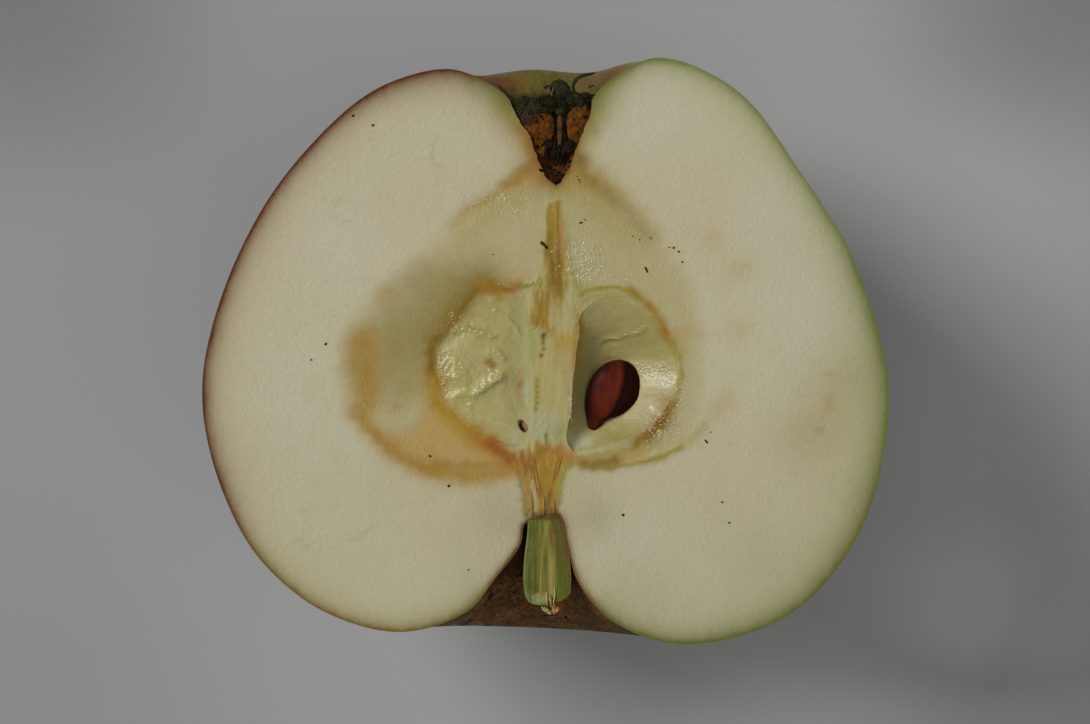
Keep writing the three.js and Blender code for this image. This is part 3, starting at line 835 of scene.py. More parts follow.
# Browned bruises left of and below the left chamber.
wash(0.5 * blots([(-18.5, 6.2)], flat, 1.4), 187, 158, 97)
wash(0.9 * LEFT_ARC.patch(flat, 3.0), 180, 146, 66)
wash(0.2 * blots([(-22.6, 0.9), (-21.6, -6.2)], flat, 1.1), 190, 134, 56)
wash(0.85 * LOWER_BRUISE.patch(flat, 2.4), 200, 164, 90)
wash(0.45 * LOWER_EDGE.stroke(flat, 1.5), 192, 160, 92)
wash(0.75 * LOWER_EDGE.stroke(flat, 0.9), 178, 134, 38)
wash(0.6 * LOWER_OLIVE.stroke(flat, 0.5), 167, 129, 39)
wash(0.6 * blots([(-17.4, -6.6)], flat, 0.6), 187, 146, 81)
wash(0.6 * BRUISE_BY_LINING.stroke(flat, 1.5), 198, 160, 82)
wash(0.8 * DEEP_BRUISE.stroke(flat, 1.1), 180, 120, 24)
wash(0.9 * Line((-6.4, -10.9), (-4.6, -12.2), (-3.2, -13.3)).stroke(flat, 0.75), 164, 90, 0)
wash(0.7 * blots([(-3.0, -13.1)], flat, 0.7), 158, 94, 10)
# Rims of the chambers.
wash(0.55 * LEFT_RIM.stroke(flat, 1.7), 150, 126, 44)
wash(0.35 * BESIDE_LEFT_RIM.stroke(flat, 0.8), 138, 112, 20)
wash(1.0 * LEFT_RIM.stroke(flat, 0.65), 134, 106, 0)
wash(0.7 * blots([(-10.9, 4.2)], flat, 0.6), 158, 116, 10)
wash(0.95 * LEFT_RIM_RUST.stroke(flat, 0.9), 182, 142, 36)
wash(0.98 * LEFT_TOP_RUST.stroke(flat, 0.8), 164, 112, 0)
wash(0.6 * blots([(-5.4, 6.6), (-7.4, 7.7)], flat, 0.7), 176, 128, 30)
wash(0.5 * blots([(-6.6, 7.2), (-4.3, 8.2)], flat, 0.6), 176, 128, 34)
wash(0.9 * RIGHT_RIM_RUST.stroke(flat, 0.7), 164, 130, 26)
wash(0.85 * blots([(13.9, 2.2), (10.4, 6.6), (12.0, 5.2)], flat, 0.55), 168, 118, 16)
for vessel, width, strength in GREEN_VESSELS:
    wash(strength * vessel.stroke(flat, width), 158, 144, 24)
wash(0.3 * RIGHT_RIM.stroke(flat, 0.32), 175, 160, 67)
wash(0.45 * Line((15.3, 2.3), (16.0, 0.6), (16.2, -0.8)).stroke(flat, 0.6), 197, 156, 88)
wash(1.0 * RIGHT_STAIN.stroke(flat, 0.95), 150, 108, 0)
wash(0.6 * blots([(13.6, -8.2), (12.8, -8.1), (12.2, -9.4)], flat, 0.5), 122, 80, 0)
wash(0.35 * blots([(8.7, -10.4)], flat, 1.6), 150, 136, 40)
wash(0.38 * RIGHT_WAKE.stroke(flat, 0.9, end=0.5), 189, 172, 97)
wash(0.7 * LOWER_BAND.patch(flat, 0.8), 190, 164, 80)
wash(0.9 * Line((4.5, -13.1), (6.2, -13.2), (8.2, -13.0)).stroke(flat, 0.7), 146, 106, 0)
# The column: pale wood with a brown streak that parts into two legs.
wash(0.8 * COLUMN.patch(flat, 0.7), 193, 180, 112)
wash(0.6 * blots([(1.2, 18.4)], flat, 0.9), 197, 198, 145)
wash(0.96 * STREAK.patch(flat, 0.7), 172, 144, 28)
strands = np.clip(2.4 * ripple(level * np.array([1, 0.16, 0]), 0.45, seed=28), 0, 1)
wash(0.85 * Line((1.1, 12.6), (1.0, 10.8), (1.1, 9.2), (1.3, 7.4)).stroke(flat, 1.0), 130, 92, 0)
wash(0.6 * Line((0.4, 16.9), (0.3, 15.0), (0.15, 13.0), (0.1, 11.0)).stroke(flat, 0.16), 136, 108, 24)
wash(0.8 * Line((1.5, 17.0), (1.4, 15.6), (1.5, 14.0)).stroke(flat, 0.16), 138, 112, 26)
wash(0.85 * blots([(0.9, 19.3), (1.3, 19.1)], flat, 0.4), 136, 150, 56)
wash(0.7 * Line((0.05, 18.9), (0.1, 18.2), (0.1, 17.4)).stroke(flat, 0.26), 204, 206, 168)
wash(0.4 * Line((-3.7, 9.2), (-2.2, 9.0)).stroke(flat, 0.8), 200, 168, 108)
wash(0.85 * Line((-2.8, 7.5), (-1.6, 7.75), (-0.3, 8.1)).stroke(flat, 0.34), 142, 148, 36)
wash(0.7 * Line((1.95, 15.2), (2.0, 13.6), (2.05, 11.6)).stroke(flat, 0.32), 196, 158, 100)
wash(0.92 * STREAK_LEG.patch(flat, 1.0), 164, 128, 20)
wash(0.6 * blots([(-0.2, 5.0), (-0.3, 3.4), (-0.8, 6.6), (-1.4, 3.2)], flat, 0.5), 168, 116, 10)
wash(0.5 * blots([(0.3, 6.1)], flat, 0.8), 136, 104, 0)
wash(0.85 * RIGHT_LEG.stroke(flat, 0.5, end=0.2), 150, 118, 10)
wash(0.3 * Line((0.9, 7.2), (0.95, 5.6), (0.9, 3.6)).stroke(flat, 0.2), 206, 184, 124)
wash(0.42 * strands * (STREAK.patch(flat, 0.6) + STREAK_LEG.patch(flat, 0.8)), 188, 152, 66)
wash(0.4 * Line((1.0, 2.8), (1.3, 0.5), (1.6, -2.0)).stroke(flat, 0.45), 181, 154, 79)
wash(0.6 * Line((-1.6, 2.4), (-1.5, 0.8), (-1.6, -0.6)).stroke(flat, 0.4), 156, 164, 80)
wash(0.7 * Line((2.9, 7.0), (3.0, 5.0), (3.1, 3.2)).stroke(flat, 0.65), 192, 184, 134)
wash(0.6 * blots([(3.56, 5.1), (3.4, 4.6)], flat, 0.22), 194, 136, 66)
wash(0.8 * RUST_BAND.patch(flat, 1.1), 192, 154, 62)
wash(0.8 * RIGHT_EDGE_RUST.stroke(flat, 0.5), 180, 138, 46)
wash(0.6 * Line((2.6, 0.2), (2.6, -2.0), (2.6, -5.4)).stroke(flat, 0.4), 198, 172, 124)
wash(0.75 * COLUMN_FOOT.patch(flat, 1.4), 190, 190, 144)
wash(0.5 * blots([(1.9, -9.4)], flat, 1.0), 152, 144, 84)
wash(0.7 * COLUMN_LINE.stroke(flat, 0.36), 168, 156, 62)
wash(0.85 * blots(COLUMN_BEADS, plan, 0.18), 122, 98, 0)
wash(0.8 * Line((0.1, -9.5), (0.15, -10.2), (0.1, -10.7)).stroke(flat, 0.16), 96, 98, 34)
# Fibres that lead to the stalk.
wash(0.98 * FIBRES.patch(flat, 0.8), 180, 136, 34)
wash(0.9 * Line((-3.4, -12.6), (-2.6, -13.3), (-1.6, -12.9)).stroke(flat, 0.85), 156, 94, 8)
wash(0.5 * strands * FIBRES.patch(flat, 0.8), 208, 172, 84)
frays = np.clip(2.4 * ripple(level * np.array([1, 0.2, 0]), 0.5, seed=29), 0, 1)
wash(0.5 * frays * FIBRES.patch(flat, 0.8), 148, 98, 12)
wash(0.6 * Line((1.0, -11.2), (2.0, -11.4), (3.0, -12.1)).stroke(flat, 0.6), 184, 118, 46)
wash(0.7 * Line((-3.0, -14.4), (-2.7, -16.5), (-2.3, -18.6)).stroke(flat, 0.4), 141, 115, 39)
wash(0.6 * Line((1.4, -10.9), (2.2, -11.2), (3.0, -11.9), (3.5, -12.4)).stroke(flat, 0.4), 201, 148, 76)
wash(0.65 * Line((2.2, -13.5), (1.7, -15.2), (1.4, -17.2)).stroke(flat, 0.36), 177, 166, 74)
wash(0.8 * FIBRE_SLIVER.stroke(flat, 0.26), 203, 186, 139)
wash(0.85 * FIBRE_GROOVE.stroke(flat, 0.2), 131, 79, 20)
wash(0.5 * blots([(0.3, -17.0)], flat, 0.9), 118, 82, 0)
wash(0.8 * Line((-2.3, -19.1), (-1.0, -19.2), (0.0, -18.7), (1.4, -19.0)).stroke(flat, 0.25), 82, 53, 18)
# Browned flesh round the funnel, faint blotches and veins in the outer flesh, pits.
left_of_eye = np.clip(0.5 - (flat[:, 0] - 1.0) / 4, 0, 1)
wash(0.95 * left_of_eye * np.exp(-((funnel_edge / 1.9) ** 2)), 178, 126, 44)
wash(0.7 * left_of_eye * np.exp(-((funnel_edge / 0.8) ** 2)), 146, 94, 20)
wash(0.9 * (1 - left_of_eye) * np.exp(-((funnel_edge / 1.4) ** 2)), 172, 150, 74)
beside_eye = np.clip((flat[:, 1] - 25.5) / 3, 0, 1)
wash(0.75 * beside_eye * np.exp(-((funnel_edge / 1.7) ** 2)), 158, 156, 66)
wash((0.75 - 0.5 * left_of_eye) * np.exp(-((funnel_edge / 0.36) ** 2)), 118, 78, 22)
wash(0.8 * blots([(4.0, 22.5)], flat, 0.9), 124, 94, 8)
wash(0.5 * blots([(5.4, 25.8)], flat, 1.0), 150, 110, 36)
for x, y, width in FAINT_BLOTCHES:
    wash(0.3 * blots([(x, y)], flat, width), 199, 164, 97)
wash(0.42 * blots([(-5.0, -19.5), (5.4, -19.5)], flat, 2.8), 170, 162, 122)
wash(0.4 * VEIN.stroke(flat, 0.3), 185, 148, 79)
for vein in CROSS_CUT_VEINS:
    wash(0.3 * vein.stroke(flat, 0.3), 179, 170, 92)
wash(0.95 * blots(PITS, plan, 0.24), 100, 78, 0)
# The chambers' lining: brown spots, pale foot, shade under the column's edge, and a painted highlight beside
# the column.
wash(0.95 * blots([(-6.7, -1.25), (-6.2, -1.75)], flat, 0.42), 160, 124, 36)
wash(1.0 * blots([(-2.85, -4.0)], flat, 0.36), 148, 86, 46)
wash(0.5 * blots([(-2.5, -4.8)], flat, 0.3), 206, 172, 130)
# Painted highlight: a near-white streak down the left lining's edge by the column.
wash(0.8 * Line((-2.2, -3.6), (-2.3, -4.8), (-2.2, -6.2)).stroke(flat, 0.2), 208, 210, 176)
wash(0.8 * Line((3.0, -10.3), (3.6, -10.8), (4.8, -10.7)).stroke(flat, 1.0), 197, 200, 160)
wash(0.5 * Line((-2.6, 5.6), (-2.4, 1.0), (-2.3, -4.0), (-2.4, -7.6)).stroke(flat, 0.7), 196, 194, 132)
wash(0.4 * blots([(-7.7, 3.9)], flat, 2.0), 146, 134, 36)
wash(0.35 * Line((-2.9, -2.6), (-3.1, -4.6), (-3.0, -6.4)).stroke(flat, 0.5), 192, 150, 92)
wash(0.55 * Line((3.4, 9.4), (3.0, 8.2), (4.2, 7.4)).stroke(flat, 0.8), 166, 160, 78)
wash(0.7 * RIGHT_LINING_TOP.stroke(flat, 0.5), 182, 172, 106)
wash(0.6 * Line((-3.3, -9.6), (-3.1, -11.2)).stroke(flat, 0.7), 205, 205, 156)
for vein in LINING_VEINS:
    wash(0.4 * vein.stroke(flat, 0.16), 203, 196, 137)

fields = {
    "skin_edge": skin_edge,
    "blush": outwards @ (SUNNY_SIDE / np.linalg.norm(SUNNY_SIDE)),
    "column": COLUMN.patch(flat, 0.6),
    "fibres": FIBRES.patch(flat, 0.8),
    "streak": np.clip(
        STREAK.patch(flat, 0.5) + STREAK_LEG.patch(flat, 0.6) + RIGHT_LEG.stroke(flat, 0.4)
        + 0.7 * RUST_BAND.patch(flat, 0.8) + 0.8 * FIBRES.patch(flat, 0.8), 0, 1
    ),
    "core": CORE.patch(flat, 3.0),
    "wet": sum(place.stroke(flat, width) for place, width in WET_PLACES),
}
for name, values in fields.items():
    fruit_data.attributes.new(name, "FLOAT", "POINT").data.foreach_set("value", values)
fruit_data.attributes.new("paint", "FLOAT_COLOR", "POINT").data.foreach_set("color", paint.ravel())

# ---- The fruit's finishes ---------------------------------------------------------------------------
# Skin on the outside, moist flesh where the knife went, parchment in the chambers, and dry brown
# tissue down the eye's funnel.


def radial_length(x, z):
    """Distance from the fruit's axis, in mm."""
    return ((x / MM) ** 2 + (z / MM - CUT) ** 2) ** 0.5


def skin_finish():
    """Waxy skin: yellow green with a brownish red sunny side, pale pores, russet round the stalk."""
    skin = Finish(
        "apple_skin", Coat_Roughness=0.15, Specular_IOR_Level=0.08, Subsurface_Weight=0.1,
        Subsurface_Radius=(1.0, 0.5, 0.3), Subsurface_Scale=0.6 * MM,
    )
    x, y, z = (skin.node("SeparateXYZ", {}, {0: skin.spot}, k) for k in range(3))
    radial = skin.node("CombineXYZ", {}, {0: x, 2: z - CUT * MM})
    ring = skin.node("VectorMath", {"operation": "NORMALIZE"}, {0: radial})
    sized = skin.node("VectorMath", {"operation": "SCALE"}, {0: ring, "Scale": 30 * MM})
    lengthwise = skin.node("CombineXYZ", {}, {1: y * 0.09})
    meridian = skin.node("VectorMath", {"operation": "ADD"}, {0: sized, 1: lengthwise})
    streak = skin.mottle(1.5, start=meridian, detail=3.0)
    broad = skin.mottle(16.0)
    speck = skin.mottle(0.5, detail=3.0)
    patchy = skin.mottle(4.0, detail=3.0)

    cloudy = (skin.mottle(11.0) * 0.4 + patchy * 0.2 + 0.5).rise(0, 1)
    ground = skin.layer(hue(130, 140, 52), hue(176, 174, 80), cloudy)
    ground = skin.layer(ground, hue(142, 150, 74), speck.rise(0, 1.4) * 0.3)
    sun = skin.field("blush") + broad * 0.1
    wisp = skin.mottle(0.6, start=meridian, detail=4.0)
    flush = (sun + streak * 0.14 + wisp * 0.1 + patchy * 0.08).rise(0.2, 0.8)
    deep_red = (sun + streak * 0.2 + wisp * 0.12 + speck * 0.06).rise(0.4, 1.0)
    red = skin.layer(hue(140, 68, 38), hue(90, 32, 24), deep_red)
    tone = skin.layer(ground, red, flush * 0.94)
    pores = 1 - (skin.cells(3.1) + skin.mottle(0.6) * 0.02).rise(0.06, 0.1)
    pores = skin.maximum(pores, (1 - (skin.cells(1.7) + speck * 0.02).rise(0.05, 0.11)) * 0.6)
    tone = skin.layer(tone, hue(194, 180, 124), pores * 0.7)

    # Russet fans out from the stalk's cavity and covers it to its lip.
    from_scar = (radial_length(x, z) ** 2 + (y / MM + 22) ** 2) ** 0.5
    rays = skin.mottle(2.4, start=meridian, detail=4.0)
    russet = 1 - (from_scar + rays * 2.0 + patchy * 2.2 + speck * 1.2).rise(16.5, 25.0)
    bark = skin.layer(hue(84, 60, 30), hue(146, 106, 58), (speck * 0.9 + patchy * 0.8).rise(-0.6, 1.2))
    red_flecks = (skin.mottle(1.1, detail=4.0) - patchy * 0.3).rise(0.0, 0.9)
    bark = skin.layer(bark, hue(150, 78, 44), red_flecks * 0.55)
    black_flecks = (skin.mottle(1.7, detail=4.0) + patchy * 0.5).rise(0.3, 0.7)
    bark = skin.layer(bark, hue(30, 22, 10), black_flecks * 0.92)
    # Painted shade: the russet darkens deep in the cavity.
    cavity_shade = 1 - (from_scar + patchy).rise(4, 10)
    bark = skin.layer(bark, hue(48, 32, 14), cavity_shade * 0.8)
    tone = skin.layer(tone, bark, russet.rise(0.05, 0.6))

    # The basin round the eye is olive, with a red flush on its left and dull brown on its right.
    from_eye = ((radial_length(x, z) * 0.8) ** 2 + (y / MM - 28.5) ** 2) ** 0.5
    basin = 1 - (from_eye + rays * 0.8).rise(8.0, 13.0)
    floor = skin.layer(hue(94, 86, 34), hue(118, 108, 48), (patchy * 0.5 + 0.5).rise(0, 1))
    ruddy = (skin.mottle(2.6, detail=3.0) - x / MM * 0.12).rise(0.1, 1.1)
    floor = skin.layer(floor, hue(132, 70, 40), ruddy * 0.75)
    flushed = (((x / MM + 4.6) / 2.4) ** 2 + ((y / MM - 31.4) / 1.5) ** 2).fade()
    floor = skin.layer(floor, hue(126, 72, 42), (flushed + patchy * 0.3).rise(0.25, 0.9) * 0.7)
    floor = skin.layer(floor, hue(108, 82, 46), (x / MM + patchy).rise(2.6, 5.0) * 0.85)
    grime = (skin.mottle(0.6, detail=4.0) + x / MM * 0.1).rise(0.8, 1.4)
    floor = skin.layer(floor, hue(62, 44, 26), grime * 0.8)
    floor = skin.layer(floor, hue(120, 64, 48), (x / MM + patchy * 1.5).rise(5.5, 8.0) * 0.7)
    floor = skin.layer(floor, hue(66, 56, 30), (1 - (from_eye + speck * 0.4).rise(3.6, 5.2)) * 0.8)
    tone = skin.layer(tone, floor, basin * 0.9)
    relief = streak * 0.004 - pores * 0.03 + russet * (speck * 0.05 + rays * 0.04) + patchy * 0.03
    relief = relief + basin * skin.mottle(1.6, detail=3.0) * 0.12
    skin.show(
        Base_Color=tone,
        Coat_Weight=(0.35 + skin.mottle(2.0) * 0.05) * (1 - russet * 0.95) * (1 - basin * 0.9),
        Roughness=0.36 + russet * 0.4 + basin * 0.2 + skin.mottle(2.0) * 0.03,
        Normal=skin.bump(relief),
    )
    return skin


def stained(finish, tone, rough):
    """The tone under the mesh's own painted stains; rough noise wears the stains unevenly."""
    cover = finish.node("Attribute", {"attribute_name": "paint"}, {}, "Alpha")
    stain = finish.node("Attribute", {"attribute_name": "paint"}, {}, "Color")
    hold = 1 - rough.rise(-0.2, 2.2) * 0.12
    bare = finish.layer(tone, (0, 0, 0, 1), cover * hold)
    return finish.node("Mix", {"data_type": "RGBA", "blend_type": "ADD"}, {0: hold, 6: bare, 7: stain}, 2)


def flesh_finish():
    """Moist cream flesh, glassier in the core, stained by bruises and air, tinged by the peel."""
    flesh = Finish(
        "apple_flesh", Subsurface_Weight=0.3, Subsurface_Radius=(1.0, 0.75, 0.4),
        Subsurface_Scale=0.42 * MM, Specular_IOR_Level=0.32,
    )
    x, y = flesh.mm(2)
    broad, middling, fine = flesh.mottle(15.0), flesh.mottle(3.2), flesh.mottle(0.45, detail=3.0)
    fibrous = flesh.mottle(0.5, stretch=(1, 0.1, 1), detail=4.0) * (0.8 + middling * 0.25)
    wisps = flesh.mottle(1.6, stretch=(1, 0.45, 1), detail=4.0)

    tone = flesh.layer(hue(212, 201, 163), hue(213, 206, 172), (broad * 0.5 + 0.5).rise(0, 1))
    # Painted sheen: the flesh is whiter towards the outer part of the cut face.
    tone = flesh.layer(tone, hue(214, 212, 184), ((x**2 + y**2) ** 0.5 + broad * 5).rise(16, 33) * 0.4)
    tone = flesh.layer(tone, hue(202, 187, 138), (middling + broad * 0.4).rise(0.3, 1.6) * 0.3)
    speckle = flesh.mottle(0.7, detail=5.0)
    tone = flesh.layer(tone, hue(228, 221, 196), (speckle + wisps * 0.4).rise(0.3, 1.5) * 0.4)
    tone = flesh.layer(tone, hue(190, 178, 132), (speckle * -1 - wisps * 0.5).rise(0.2, 1.5) * 0.35)

    column, fibres = flesh.field("column"), flesh.field("fibres")
    tone = stained(flesh, tone, fine * 0.7 + wisps * 0.6)
    wood = (fibrous + fine * 0.2).rise(0.0, 1.1)
    tone = flesh.layer(tone, hue(222, 214, 170), wood * column * 0.4)
    tone = flesh.layer(tone, hue(140, 116, 52), (fibrous * -1).rise(0.5, 1.5) * column * 0.3)
    streak = flesh.field("streak")
    tone = flesh.layer(tone, hue(206, 176, 104), wood * streak * 0.5)
    tone = flesh.layer(tone, hue(116, 76, 14), (fibrous * -1 + middling * 0.3).rise(0.2, 1.4) * streak * 0.5)

    # The peel tinges the flesh next to it.
    edge = flesh.field("skin_edge") + fine * 0.06 + wisps * 0.06
    sun = flesh.field("blush").rise(0.3, 0.7)
    low = 1 - y.rise(-22, -6)
    peel = flesh.layer(hue(116, 126, 58), hue(110, 114, 48), low)
    peel = flesh.layer(peel, hue(130, 106, 42), low * (1 - x.rise(-16, -4)))
    peel = flesh.layer(peel, hue(142, 148, 92), y.rise(4, 22) * x.rise(8, 20) * 0.8)
    peel = flesh.layer(peel, hue(100, 46, 4), sun)
    cavity = 1 - (((x + 0.4) ** 2 + (y + 24) ** 2) ** 0.5 + middling * 0.4).rise(7.0, 9.5)
    throat = cavity * y.rise(-26.5, -24.0)
    peel = flesh.layer(peel, flesh.layer(hue(138, 100, 52), hue(112, 80, 34), throat), cavity)
    eye = 1 - (((x - EYE_X) ** 2 + (y - 30) ** 2) ** 0.5 + middling * 0.5).rise(6.5, 11.0)
    peel = flesh.layer(peel, hue(128, 126, 54), eye * 0.8)
    reach = 0.72 + (1 - sun) * x.rise(0, 40) * (0.85 + low * 0.15 - y.rise(-2, 26) * 0.7) + sun * 0.14
    reach = reach + eye * 0.6 - cavity * (0.3 + throat * 0.1) + sun * y.rise(26, 32) * 0.35
    below_peel = flesh.layer(hue(182, 178, 116), hue(180, 142, 92), sun * (1 - eye))
    tone = flesh.layer(tone, below_peel, ((edge - 0.2) / (reach * 3.4)).fade() * 0.48 * (1 - cavity * 0.6))
    tinge = ((edge - 0.18 + wisps * 0.06) / reach).fade()
    tone = flesh.layer(tone, peel, tinge)

    core = flesh.field("core")
    wet = (flesh.mottle(5.0, detail=3.0) + core * 0.9 - 0.2 + wisps * 0.3).rise(0.2, 1.5)
    wet = flesh.maximum(wet, (flesh.field("wet") + fine * 0.3).rise(0.2, 0.7))
    near_stalk = 1 - ((x**2 + (y + 20) ** 2) ** 0.5 + middling * 1.5).rise(6, 17)
    wet = flesh.maximum(wet, near_stalk * 0.7)
    grain = flesh.cells(0.42)
    relief = fine * 0.02 + grain * 0.02 + flesh.mottle(1.4) * 0.012 + fibrous * (column + fibres) * 0.015
    relief = relief + flesh.mottle(0.32, detail=2.0) * wet * 0.036
    relief = relief + flesh.mottle(0.45) * flesh.field("wet") * 0.035
    flesh.show(
        Base_Color=tone,
        Roughness=0.52 - wet * 0.3 + fine * 0.05,
        Normal=flesh.bump(relief, 0.8),
    )
    return flesh


def lining_finish():
    """The chambers' lining: thin, tough and shiny, pale yellow green."""
    lining = Finish(
        "chamber_lining", Coat_Roughness=0.13, Specular_IOR_Level=0.6, Subsurface_Weight=0.25,
        Subsurface_Radius=(1.0, 0.8, 0.4), Subsurface_Scale=0.5 * MM,
    )
    (x,) = lining.mm(1)
    fine, middling = lining.mottle(0.5, detail=3.0), lining.mottle(2.6, detail=3.0)
    pale = lining.layer(hue(170, 166, 74), hue(196, 192, 110), (middling * 0.5 + 0.5).rise(0, 1))
    pale = lining.layer(pale, hue(166, 167, 74), lining.mottle(5.0).rise(0, 1.5) * 0.6)
    green = lining.layer(hue(128, 117, 32), hue(147, 136, 50), (middling * 0.5 + 0.5).rise(0, 1))
    tone = lining.layer(pale, green, x.rise(0, 2))
    tone = stained(lining, tone, fine)
    wet = (lining.field("wet") + middling * 0.15 + fine * 0.1).rise(0.15, 0.8)
    relief = fine * 0.01 + lining.mottle(0.9) * 0.025
    relief = relief + lining.mottle(0.34, stretch=(0.7, 1.4, 1), detail=2.0) * wet * 0.035
    lining.show(
        Base_Color=tone,
        Coat_Weight=wet * 0.3,
        Roughness=0.46 - wet * 0.25 + fine * 0.03,
        Normal=lining.bump(relief),
    )
    return lining


def funnel_finish():
    """The eye's funnel: dry orange brown tissue with black spots, dark wool at its mouth."""
    funnel = Finish("funnel_lining", Specular_IOR_Level=0.12)
    x, y = funnel.mm(2)
    fine, middling = funnel.mottle(0.35, detail=4.0), funnel.mottle(1.1, detail=3.0)
    lines = funnel.mottle(0.5, stretch=(1, 0.25, 1), detail=4.0)
    tone = funnel.layer(hue(96, 54, 16), hue(146, 88, 30), (middling * 0.5 + 0.5 + lines * 0.3).rise(0, 1))
    low = 1 - (y + middling * 0.5).rise(20.8, 23.6)
    tone = funnel.layer(tone, hue(96, 46, 28), low * 0.75)
    tone = funnel.layer(tone, hue(140, 92, 62), (funnel.mottle(0.5) + lines * 0.4).rise(0.4, 1.2) * low * 0.7)
    black = (funnel.mottle(0.7, detail=4.0) + fine * 0.4).rise(0.5, 1.3)
    tone = funnel.layer(tone, hue(28, 17, 9), black * 0.9)
    foot = 1 - (y + middling * 0.5).rise(19.8, 21.6)
    tone = funnel.layer(tone, hue(18, 13, 9), foot * x.rise(0.5, 1.3) * 0.8)
    tone = funnel.layer(tone, hue(26, 24, 14), (y + middling * 0.5).rise(27.2, 28.4) * 0.95)
    funnel.show(
        Base_Color=tone,
        Roughness=0.66 + fine * 0.08,
        Normal=funnel.bump(fine * 0.05 + middling * 0.08),
    )
    return funnel


def settle(name, mesh):
    """A finished mesh in mm as a piece that rides on the fruit."""
    mesh.transform(Matrix.Scale(MM, 4))
    thing = bpy.data.objects.new(name, mesh)
    bpy.context.collection.objects.link(thing)
    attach(thing, "root")
    return thing


SMOOTH_UP_TO = math.radians(40)
fruit_data.materials.clear()
for finish in (skin_finish(), flesh_finish(), lining_finish(), funnel_finish()):
    fruit_data.materials.append(finish.material)
fruit_data.polygons.foreach_set("material_index", slots)
fruit_data.shade_smooth()
fruit_data.set_sharp_from_angle(angle=SMOOTH_UP_TO)
apple = settle("apple_half", fruit_data)
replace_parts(apple, "fruit")

# ---- Strands and torn tissue of the core ---------------------------------------------------------
# The knife tore the middle column along the right chamber, and pulled loose pale threads out of
# the wood above the stalk.

chance = random.Random(11)


def cut_height(x, y):
    """Height of the cut face at a place."""
    return CUT + cut_relief(np.array([(x, y)]))[0]


def strip(points, width, thickness, across=(0, 0, 1), rings=24, sides=10, rough=0.0, grain=0.5):
    """A rounded strip along a path: width(t) the way `across` points, thickness(t) through."""
    path = np.array(points, float)
    wide = np.array(across, float) / np.linalg.norm(across)

    def place(along, around):
        at = along * (len(path) - 1)
        middle = curve_through(path, at)
        tangent = curve_through(path, at + 0.02) - curve_through(path, at - 0.02)
        tangent /= np.linalg.norm(tangent, axis=1)[:, None]
        side = wide - tangent * (tangent @ wide)[:, None]
        side /= np.linalg.norm(side, axis=1)[:, None]
        ends = np.sqrt(np.clip(1 - (2 * along - 1) ** 6, 0, 1))
        reach = (np.cos(around) * ends * width(along) / 2)[:, None] * side
        reach += (np.sin(around) * ends * thickness(along) / 2)[:, None] * np.cross(side, tangent)
        if rough:
            reach *= 1 + rough * ripple(middle + reach, grain)[:, None]
        return middle + reach

    return ring_body(rings, sides, place)


def even(size):
    return lambda along: np.full_like(along, size)


def tapered(size, end=0.2):
    """Full in the middle of a strip, `end` of that at both ends."""
    return lambda along: size * (end + (1 - end) * np.sin(along * math.pi) ** 0.7)


def lump(spot, reach, rough=0.2, turn=0.0, rings=12, sides=14, grain=0.7):
    """An uneven round crumb of tissue about a spot."""

    def place(along, around):
        ring = np.sin(along * math.pi)
        ball = np.column_stack([ring * np.cos(around), ring * np.sin(around), np.cos(along * math.pi)])
        shaped = ball * np.array(reach)
        shaped *= 1 + rough * ripple(shaped + np.array(spot) * 3.7, grain * min(reach) * 2)[:, None]
        x, y, z = shaped.T
        across, along_turn = x * math.cos(turn) - y * math.sin(turn), x * math.sin(turn) + y * math.cos(turn)
        return np.column_stack([across, along_turn, z]) + np.array(spot)

    return ring_body(rings, sides, place)


def gathered(name, bodies, finish=None):
    """Many bodies as one smooth mesh in one finish."""
    whole = bmesh.new()
    for made in bodies:
        step = bpy.data.meshes.new("step")
        made.to_mesh(step)
        made.free()
        whole.from_mesh(step)
        bpy.data.meshes.remove(step)
    mesh = bpy.data.meshes.new(name)
    whole.to_mesh(mesh)
    whole.free()
    if finish:
        mesh.materials.append(finish.material)
    mesh.shade_smooth()
    return mesh


def piece(name, bodies, finish):
    """Bodies in one finish, as a piece that rides on the fruit."""
    return settle(name, gathered(name, bodies, finish))


def tissue_finish(name, dark, pale):
    """Moist plant tissue in two tones, streaked along the core."""
    tissue = Finish(
        name, Subsurface_Weight=0.25, Subsurface_Radius=(1, 0.7, 0.3), Subsurface_Scale=0.4 * MM
    )
    fine = tissue.mottle(0.4, stretch=(1, 0.3, 1), detail=3.0)
    tone = tissue.layer(dark, pale, (fine + tissue.mottle(1.5)).rise(-1.0, 1.0))
    tissue.show(Base_Color=tone, Roughness=0.42 + fine * 0.06, Normal=tissue.bump(fine * 0.02))
    return tissue


# The column's ragged right edge, above and below the rusty band.
TORN_EDGES = {
    "amber": ([(3.85, 3.4), (3.8, 2.4), (3.7, 1.2), (3.55, 0.2), (3.4, -0.8)], 0.22, 40),
    "white": ([(2.78, -5.0), (2.75, -6.0), (2.72, -7.0), (2.66, -8.3)], 0.75, 60),
}
torn = {"amber": [], "white": []}
for shade, (points, size, rings) in TORN_EDGES.items():
    edge = [(x, y, CUT + 0.02) for x, y in points]

    def ragged(along, size=size):
        wave = ripple(np.column_stack([along * 20, along * 0, along * 0]), 1.3, seed=9)
        return size * (1 + 0.35 * wave) * np.minimum(1, 5 * np.minimum(along, 1 - along) + 0.2)

    torn[shade].append(strip(edge, ragged, even(0.16), (1, 0, 0.25), rings, sides=12, rough=0.3))
for _ in range(10):
    y = chance.uniform(-7.5, 3.5)
    x = 3.55 + y * 0.09 + chance.uniform(-0.6, 0.1)
    length, lift = chance.uniform(1.0, 2.6), chance.uniform(0.03, 0.12)
    lean = chance.uniform(-0.15, 0.2)
    path = [(x, y, CUT), (x + lean * 0.4, y - length / 2, CUT + lift), (x + lean, y - length, CUT)]
    shade = "amber" if y > -0.5 else "white"
    torn[shade].append(strip(path, tapered(chance.uniform(0.1, 0.18)), tapered(0.1), rings=12, sides=6))
